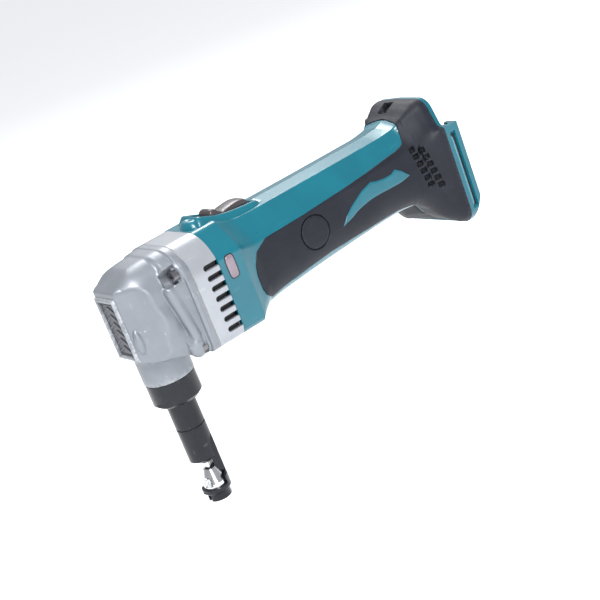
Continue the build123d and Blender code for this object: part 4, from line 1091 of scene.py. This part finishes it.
@dataclass
class GearHead:
    """Cast gear housing with its neck, plate frame and name plate."""

    axis_z: float = 107.5
    half: float = 33.5
    low: float = 75.5
    high: float = 142.3
    top_r: float = 22.0
    low_r: float = 6.0
    rear: float = 23.6
    nose: float = -18.9
    frame_x: float = -20.6
    screw_y: float = 27.2
    screw_z: tuple[float, float] = (82.0, 128.0)
    screw_seat_x: float = 17.0
    rings: int = 250
    spokes: int = 380
    neck_r: float = 16.3
    neck_low: float = 66.7
    plate_half: float = 9.3
    plate_z: tuple[float, float] = (90.1, 126.1)

    def section(self, p: Array, half: Array, low: Array, high: Array, top_r: Array, low_r: Array) -> Array:
        """Distance in the YZ plane to a rectangle whose upper and lower corners have their own radii."""
        middle = (low + high) / 2
        up = p[..., 2] > middle
        radius = np.where(up, top_r, low_r)
        qy = np.abs(p[..., 1]) - (half - radius)
        qz = np.abs(p[..., 2] - middle) - ((high - low) / 2 - radius)
        outside = np.hypot(np.maximum(qy, 0), np.maximum(qz, 0))
        return outside + np.minimum(np.maximum(qy, qz), 0) - radius

    def field(self, p: Array) -> Array:
        """Field of the casting without its neck: below 0 inside.

        The union of a flange, a gear dome, a nose between sloping planes, ribs and bosses, less the
        screw pockets, each joined over a small blend.

        Args:
            p: points, ... x 3.

        Returns:
            Value at each point, near the distance to the surface.
        """
        p = p.copy()
        p[..., 1] = np.abs(p[..., 1])
        x, y, z = p[..., 0], p[..., 1], p[..., 2]
        flange = self.section(p, self.half, self.low, self.high, self.top_r, self.low_r)
        flange = soft_max(flange, 18.6 - x, 1.2)
        panel_top = smooth_through(x, (4, 12, 20), (139.8, 141.4, 142.0))
        panel = self.section(p, 31.2 + 0 * x, 76.0, panel_top, 21.0, 6.0)
        panel = soft_max(panel, 10.0 - x, 2.5)
        core = self.section(p, smooth_through(x, (-20, -12, -4, 8, 16), (20, 24.5, 26.2, 26.6, 27.5)),
                            smooth_through(x, (-20, -12, 0, 14), (86.5, 83.8, 79.6, 76.5)),
                            smooth_through(x, (-14, -6, 4, 16), (136.5, 139.8, 141.0, 141.6)), 19.0, 9.0)
        wedge = -0.66 * (x + 19.6) + 0.751 * (y - 11.9)
        bevel = -0.477 * (x + 20.6) + 0.879 * (z - 131.4)
        chin = -0.6 * (x + 19.0) - 0.8 * (z - 87.4)
        dome = ellipsoid(p, (1.0, 0, 105.0), (25.0, 28.2, 27.0))
        body = soft_min(core, soft_max(dome, self.nose + 2 - x, 1.0), 1.6)
        body = soft_max(body, wedge, 1.4)
        body = soft_max(body, bevel, 1.0)
        body = soft_max(body, chin, 2.0)
        body = soft_max(body, self.nose - x, 0.8)
        body = soft_min(body, panel, 1.6)
        body = soft_min(body, flange, 0.7)
        hood = capsule(p, (13.5, 23.6, 128.6), (21.0, 24.6, 128.2), 6.6, 7.8)
        body = soft_min(body, hood, 1.6)
        rib = capsule(p, (8.6, 28.0, 121.5), (12.6, 29.8, 90.5), 3.6, 2.9)
        body = soft_min(body, rib, 1.3)
        body = soft_min(body, capsule(p, (11.4, 27.2, 86.0), (11.8, 27.2, 81.4), 5.4, 5.0), 1.0)
        body = soft_min(body, capsule(p, (20.8, 33.0, 114.0), (20.8, 33.0, 90.0), 0.75, 0.75), 0.4)
        body = soft_min(body, ellipsoid(p, (-15.6, 15.2, 99.5), (3.2, 2.6, 7.6)), 0.7)
        upper = np.hypot(y - self.screw_y, z - self.screw_z[1]) - 4.9
        upper = soft_max(upper, x - self.screw_seat_x - 0.2, 0.8)
        upper = soft_max(upper, 7.4 - x, 1.4)
        body = soft_max(body, -upper, 1.2)
        lower = np.hypot(y - self.screw_y - 0.4, z - self.screw_z[0]) - 4.3
        lower = soft_max(lower, x - self.screw_seat_x - 0.2, 0.6)
        lower = soft_max(lower, 13.0 - x, 0.6)
        body = soft_max(body, -lower, 0.8)
        return soft_max(body, x - self.rear, 0.4)

    def casting(self) -> Piece:
        """Outer skin of the casting: where rays from its axis first leave the field.

        In front the rays fan out from one point on the axis, from straight ahead to straight
        sideways, and behind that they start along the axis. Each ray is stepped until the field turns
        positive, and the last step is halved until it is exact.
        """
        fan = 0.46
        u = np.linspace(0, 1, self.rings)[1:, None]
        turn = np.linspace(0, 2 * np.pi, self.spokes + 1)[None, :-1]
        centre_x = -4.0
        open_angle = np.clip(u / fan, 0, 1) * math.pi / 2
        start_x = centre_x + np.clip((u - fan) / (1 - fan), 0, 1) * (self.rear - 0.02 - centre_x)
        sideways = np.sin(open_angle)
        ray = np.stack([-np.cos(open_angle) + 0 * turn, sideways * np.sin(turn), sideways * np.cos(turn)], -1)
        origin = np.stack([start_x + 0 * turn, 0 * u + 0 * turn, 0 * u + self.axis_z + 0 * turn], -1)
        near = np.zeros(ray.shape[:2])
        far = np.full(ray.shape[:2], 60.0)
        found = np.zeros(ray.shape[:2], bool)
        for reach in np.arange(6.0, 52.0, 1.0):
            value = self.field(origin + ray * reach)
            crossing = (value > 0) & ~found
            far = np.where(crossing, reach, far)
            near = np.where(crossing, reach - 1.0, near)
            found |= crossing
        for _ in range(9):
            middle = (near + far) / 2
            outside = self.field(origin + ray * middle[..., None]) > 0
            far = np.where(outside, middle, far)
            near = np.where(outside, near, middle)
        skin = origin + ray * far[..., None]
        rim = skin[-1:].copy()
        inner = [rim * [1, s, 1] + [0, 0, self.axis_z * (1 - s)] for s in (0.92,)]
        inner[0][..., 2] = self.axis_z + (rim[..., 2] - self.axis_z) * 0.92
        back = inner[0] - [8.0, 0, 0]
        points, faces = tube(np.concatenate([skin, inner[0], back]))
        return Piece("gear_casting", points, faces, CAST, "cast_silver", replaces=("gear_housing",))

    def neck(self) -> Piece:
        """Round neck: a profile of radius and height turned about Z, with a small root fillet."""
        profile = [(11.6, self.neck_low), (self.neck_r - 0.4, self.neck_low),
                   (self.neck_r, self.neck_low + 0.4), (self.neck_r, 76.0), (self.neck_r, 80.0), (self.neck_r - 0.4, 92.0), (11.6, 92.0)]
        return Piece("neck_casting", *turned(profile, 120), CAST, "cast_silver")

    def plate_frame(self) -> Piece:
        """Raised frame round the plate: a small profile carried round a rectangle, mitred at its corners."""
        low, high = self.plate_z
        half_y, half_z, middle = self.plate_half, (high - low) / 2, (high + low) / 2
        profile = [(self.nose + 1.2, -0.3), (self.nose - 1.2, -0.1), (self.frame_x, 0.5), (self.frame_x, 1.5),
                   (self.frame_x + 0.7, 2.3), (self.nose + 1.2, 2.9)]
        signs = np.array([(-1, -1), (1, -1), (1, 1), (-1, 1)])
        rings = []
        for x, out in profile:
            corners = signs * [half_y + out, half_z + out]
            steps = np.linspace(0, 1, 12)[:-1, None]
            walk = np.concatenate([a + (b - a) * steps for a, b in zip(corners, np.roll(corners, -1, 0))])
            rings.append(np.column_stack([np.full(len(walk), x), walk[:, 0], walk[:, 1] + middle]))
        grid = np.stack(rings + rings[:1])
        count = grid.shape[1]
        faces = grid_faces(len(profile) + 1, count, wrap=True) % (len(profile) * count)
        return Piece("plate_frame", grid[:-1].reshape(-1, 3), faces, CAST, "cast_silver")

    def name_plate(self) -> Piece:
        """Dark plate with plain slanted ridges pressed into it; the ridges carry no mark or letter."""
        low, high = self.plate_z
        y, z = np.meshgrid(np.linspace(-1, 1, 60) * (self.plate_half - 0.1),
                           np.linspace(low + 0.1, high - 0.1, 220), indexing="ij")
        slant = (z - low) + np.abs(y) * 0.55
        ridge = step(np.sin(slant * 2 * np.pi / 5.2), 0.1, 0.6)
        inside = box_mask(y, z, (0, (low + high) / 2), (14.4, 31.0), 1.0)
        border = box_mask(y, z, (0, (low + high) / 2), (16.6, 33.8), 0.5) - box_mask(
            y, z, (0, (low + high) / 2), (15.4, 32.6), 0.5)
        height = 0.5 * ridge * inside + 0.35 * border
        outer = np.stack([self.nose - 0.15 - height, y, z], -1)
        inner = np.stack([np.full_like(y, self.nose + 0.5), y, z], -1)
        return Piece("plate_relief", *slab(outer, inner), PLATE, "plate_dark", replaces=("name_plate",))

    def slot_liner(self, side: Side) -> Piece:
        """Dark sheet inside the ring, behind its slots: painted shade where the housing's inside lies in shadow."""
        x, z = np.meshgrid(np.linspace(25.2, 41.8, 4), np.linspace(80.5, 127.5, 8), indexing="ij")
        outer = np.stack([x, np.full_like(x, 30.2), z], -1)
        points, faces = slab(outer, outer - [0, 0.3, 0])
        points[:, 1] *= side.value
        return Piece(f"slot_liner_{side.word}", points, faces, PAINTED_SHADE, "black_plastic")

    def pieces(self) -> list[Piece]:
        """All pieces of the head."""
        shade_sheets = [self.slot_liner(side) for side in Side]
        return [self.casting(), self.neck(), self.plate_frame(), self.name_plate()] + shade_sheets


def turned(profile: Sequence[tuple[float, float]], count: int) -> tuple[Array, Array]:
    """Closed ring from a profile of radius and height turned about Z.

    Args:
        profile: closed line of (radius, height) points.
        count: steps round the axis.

    Returns:
        Points and quads.
    """
    line = np.asarray(profile, float)
    turn = np.linspace(0, 2 * np.pi, count + 1)[:-1]
    grid = np.stack([line[:, :1] * np.cos(turn), line[:, :1] * np.sin(turn),
                     np.repeat(line[:, 1:], count, 1)], -1)
    faces = grid_faces(len(line) + 1, count, wrap=True) % (len(line) * count)
    return grid.reshape(-1, 3), faces


# ---------------------------------------------------------------- switch and lamp
@dataclass
class SwitchTop:
    """Rim round the slide switch with its front boss, and the switch's knob."""

    well_x: tuple[float, float] = (54.4, 93.8)
    well_half: float = 8.1
    lip: float = 1.8
    skirt: float = 5.0
    rim_z: tuple[tuple[float, float], ...] = ((48, 146.6), (52, 147.2), (58, 145.4), (66, 142.6), (76, 140.6),
                                              (88, 139.4), (99, 138.0))
    knob_x: tuple[float, float] = (62.0, 92.0)
    knob_half: float = 7.4
    knob_low: float = 137.8
    knob_top: tuple[tuple[float, float], ...] = (
        (62, 142.8), (63.2, 145.0), (65.5, 146.0), (68, 145.2), (70, 142.9), (72.5, 141.9), (77, 142.6),
        (84, 143.2), (89, 142.4), (92, 139.6))

    def rim(self) -> Piece:
        """Rim: a profile of outward distance and height carried round a rounded rectangle."""
        turn = np.linspace(0, 2 * np.pi, 161)[:-1]
        cx = sum(self.well_x) / 2
        hx = (self.well_x[1] - self.well_x[0]) / 2
        power = 0.2
        turn = turn - 0.97 * np.sin(4 * turn) / 4
        dx, dy = np.cos(turn), np.sin(turn)
        ex, ey = np.sign(dx) * np.abs(dx) ** power, np.sign(dy) * np.abs(dy) ** power
        rings = []
        for out, drop in ((0.0, 12.0), (0.0, 0.5), (0.5, 0.0), (self.lip, 0.0), (self.lip + 0.9, 0.7),
                          (self.lip + self.skirt * 0.5, 3.2), (self.lip + self.skirt, 6.4), (self.lip, 12.0)):
            x = cx + ex * (hx + out)
            y = ey * (self.well_half + out)
            z = smooth_through(x, *zip(*self.rim_z)) - drop
            rings.append(np.stack([x, y, z], -1))
        grid = np.stack(rings)
        count = grid.shape[1]
        faces = grid_faces(len(rings) + 1, count, wrap=True) % (len(rings) * count)
        return Piece("switch_rim", grid.reshape(-1, 3), faces, TEAL, "housing_teal")

    def boss(self) -> Piece:
        """Rounded boss in front of the switch: a flattened dome with a shallow dish in its crown."""
        radius, turn = np.meshgrid(np.linspace(0.01, 1, 26), np.linspace(0, 2 * np.pi, 65)[:-1],
                                   indexing="ij")
        height = 4.6 * (1 - radius ** 3.2) - 1.3 * np.exp(-(radius / 0.42) ** 2)
        top = np.stack([49.5 + 5.7 * radius * np.cos(turn), -3.4 + 9.2 * radius * np.sin(turn),
                        142.6 + height], -1)
        under = top[-1:] - [0, 0, 4.0]
        return Piece("switch_boss", *tube(np.concatenate([top, under])), TEAL, "housing_teal")

    def well_floor(self) -> Piece:
        """Dark sheet at the bottom of the switch's well: painted shade where the well lies in shadow."""
        x, y = np.meshgrid(np.linspace(*self.well_x, 6), np.linspace(-1, 1, 4) * self.well_half,
                           indexing="ij")
        top = np.stack([x, y, np.full_like(x, 131.0)], -1)
        return Piece("switch_well_shade", *slab(top, top - [0, 0, 0.1]), PAINTED_SHADE, "black_plastic")

    def knob(self) -> Piece:
        """Thumb piece: sections across the tool whose top follows a profile, with rounded shoulders."""
        share = 0.5 - 0.5 * np.cos(np.linspace(0, np.pi, 90))
        x = self.knob_x[0] + (self.knob_x[1] - self.knob_x[0]) * share
        top = smooth_through(x, *zip(*self.knob_top))
        close = np.clip(np.sqrt(np.clip(1 - np.abs(2 * share - 1) ** 26, 0, 1)), 0.03, 1)
        turn = np.linspace(0, 2 * np.pi, 65)[:-1]
        power = 0.42
        ey = np.sign(np.cos(turn)) * np.abs(np.cos(turn)) ** power
        ez = np.sign(np.sin(turn)) * np.abs(np.sin(turn)) ** power
        middle = (top + self.knob_low) / 2
        half_z = (top - self.knob_low) / 2
        crown = 0.35 * (1 - ey ** 2)
        z = middle[:, None] + half_z[:, None] * ez[None] * close[:, None] + crown[None] * (ez > 0)[None]
        y = self.knob_half * ey[None] * close[:, None]
        grid = np.stack([np.repeat(x[:, None], len(turn), 1), y, z], -1)
        return Piece("switch_thumb_piece", *tube(grid), KNOB, "knob_brown", Body.SWITCH_THUMB,
                     ("switch_knob",))

    def pieces(self) -> list[Piece]:
        """All pieces of the switch."""
        return [self.rim(), self.boss(), self.well_floor(), self.knob()]


@dataclass
class Lamp:
    """Window of the indicator lamp and a dark ring round it, painted shade in the gap."""

    centre: tuple[float, float] = (50.0, 117.6)
    size: tuple[float, float] = (6.2, 14.6)
    face: float = 33.5

    def pillow(self, grow: float, proud: float) -> tuple[Array, Array]:
        """Low pillow on the side: rings of a squared ellipse that rise towards the middle.

        Args:
            grow: how much larger than the window on every side.
            proud: height of its middle over the side.

        Returns:
            Points and faces.
        """
        share, turn = np.meshgrid(np.linspace(0.02, 1, 12), np.linspace(0, 2 * np.pi, 81)[:-1], indexing="ij")
        power = 0.5
        ex = np.sign(np.cos(turn)) * np.abs(np.cos(turn)) ** power
        ez = np.sign(np.sin(turn)) * np.abs(np.sin(turn)) ** power
        x = self.centre[0] + ex * share * (self.size[0] / 2 + grow)
        z = self.centre[1] + ez * share * (self.size[1] / 2 + grow)
        y = -(self.face + proud * (1 - share ** 6))
        top = np.stack([x, y, z], -1)
        return tube(np.concatenate([top, top[-1:] + [0, 1.0, 0]]))

    def pieces(self) -> list[Piece]:
        """Window, and the dark ring of painted shade round it."""
        return [Piece("lamp_window", *self.pillow(0.0, 0.75), LENS, "lens_clear", replaces=("lamp_lens",)),
                Piece("lamp_gap_shade", *self.pillow(0.55, 0.2), PAINTED_SHADE, "black_plastic")]


# ---------------------------------------------------------------- studio
@dataclass
class Studio:
    """Pale floor, soft lights and the camera."""

    floor_z: float = -20.7
    lens: float = 83.49
    distance: float = 894.3
    azimuth: float = -30.11
    elevation: float = 19.02
    roll: float = -21.11
    look_at: tuple[float, float, float] = (104.45, 0.0, 63.0)

    def floor(self) -> Piece:
        """Large pale floor under the tool."""
        x, y = np.meshgrid(np.linspace(-12000, 12000, 9), np.linspace(-12000, 12000, 9), indexing="ij")
        points = np.stack([x, y, np.full_like(x, self.floor_z)], -1).reshape(-1, 3)
        return Piece("floor", points, grid_faces(9, 9), self.paper(), "", stage=True)

    @staticmethod
    def paper() -> Finish:
        """Finish of the floor."""
        return Finish("pale_paper", (0.86, 0.87, 0.88), (0.88, 0.89, 0.9), (0.9, 0.9, 0.9), roughness=0.9,
                      relief=0.0, wear=0.0, scratches=0.0, glow=0.42)

    def axes(self) -> tuple[Array, Array, Array]:
        """Camera's right, up and backward directions, turned by the roll about the view."""
        a, e, r = (math.radians(v) for v in (self.azimuth, self.elevation, self.roll))
        back = np.array([math.sin(a) * math.cos(e), -math.cos(a) * math.cos(e), math.sin(e)])
        right = np.array([math.cos(a), math.sin(a), 0.0])
        up = np.cross(back, right)
        return math.cos(r) * right + math.sin(r) * up, -math.sin(r) * right + math.cos(r) * up, back

    def camera(self) -> bpy.types.Object:
        """Creates the camera and makes it the scene's own."""
        right, up, back = self.axes()
        data = bpy.data.cameras.new("studio_camera")
        data.sensor_width = 36.0
        data.lens = self.lens
        data.clip_start, data.clip_end = 0.01, 50.0
        thing = bpy.data.objects.new("studio_camera", data)
        place = (np.array(self.look_at) + back * self.distance) * MM
        turn = np.eye(4)
        turn[:3, 0], turn[:3, 1], turn[:3, 2], turn[:3, 3] = right, up, back, place
        thing.matrix_world = Matrix(turn.tolist())
        bpy.context.scene.collection.objects.link(thing)
        bpy.context.scene.camera = thing
        return thing

    @staticmethod
    def lamp(name: str, place: Sequence[float], target: Sequence[float], size: float, watts: float) -> None:
        """Square soft light aimed at a point.

        Args:
            name: light's name.
            place: its place in metres.
            target: point that it faces, in metres.
            size: length of its side in metres.
            watts: its power.
        """
        data = bpy.data.lights.new(name, "AREA")
        data.shape = "SQUARE"
        data.size = size
        data.energy = watts
        thing = bpy.data.objects.new(name, data)
        back = np.array(place, float) - np.array(target, float)
        back /= np.linalg.norm(back)
        right = np.cross([0.0, 0.0, 1.0], back)
        right /= max(np.linalg.norm(right), 1e-6)
        turn = np.eye(4)
        turn[:3, 0], turn[:3, 1], turn[:3, 2], turn[:3, 3] = right, np.cross(back, right), back, place
        thing.matrix_world = Matrix(turn.tolist())
        bpy.context.scene.collection.objects.link(thing)

    def light(self) -> None:
        """Pale surroundings, a key light high in front, a fill on the left and a strip behind."""
        world = bpy.data.worlds.new("studio")
        world.use_nodes = True
        world.node_tree.nodes["Background"].inputs["Color"].default_value = (0.93, 0.96, 1.0, 1.0)
        world.node_tree.nodes["Background"].inputs["Strength"].default_value = 0.5
        bpy.context.scene.world = world
        bpy.context.scene.view_settings.view_transform = "Standard"
        aim = (0.1, 0.0, 0.1)
        self.lamp("key", (-0.35, -0.5, 1.1), aim, 0.45, 19.0)
        self.lamp("fill", (-0.3, -1.3, 0.45), aim, 0.35, 6.0)
        self.lamp("back_strip", (0.6, 0.8, 1.0), aim, 0.5, 9.0)


def main() -> None:
    """Builds the tool's looks in order: finishes, handle, foot, head, switch, lamp and studio."""
    logging.basicConfig(level=logging.INFO, format="%(message)s")
    wardrobe = Wardrobe()
    wardrobe.dress_cad_nodes()
    handle = Handle()
    for maker in (handle, Foot(handle.form), GearHead(), SwitchTop(), Lamp()):
        for piece in maker.pieces():
            piece.make(wardrobe)
    studio = Studio()
    studio.floor().make(wardrobe)
    studio.light()
    studio.camera()


if __name__ == "__main__":
    main()
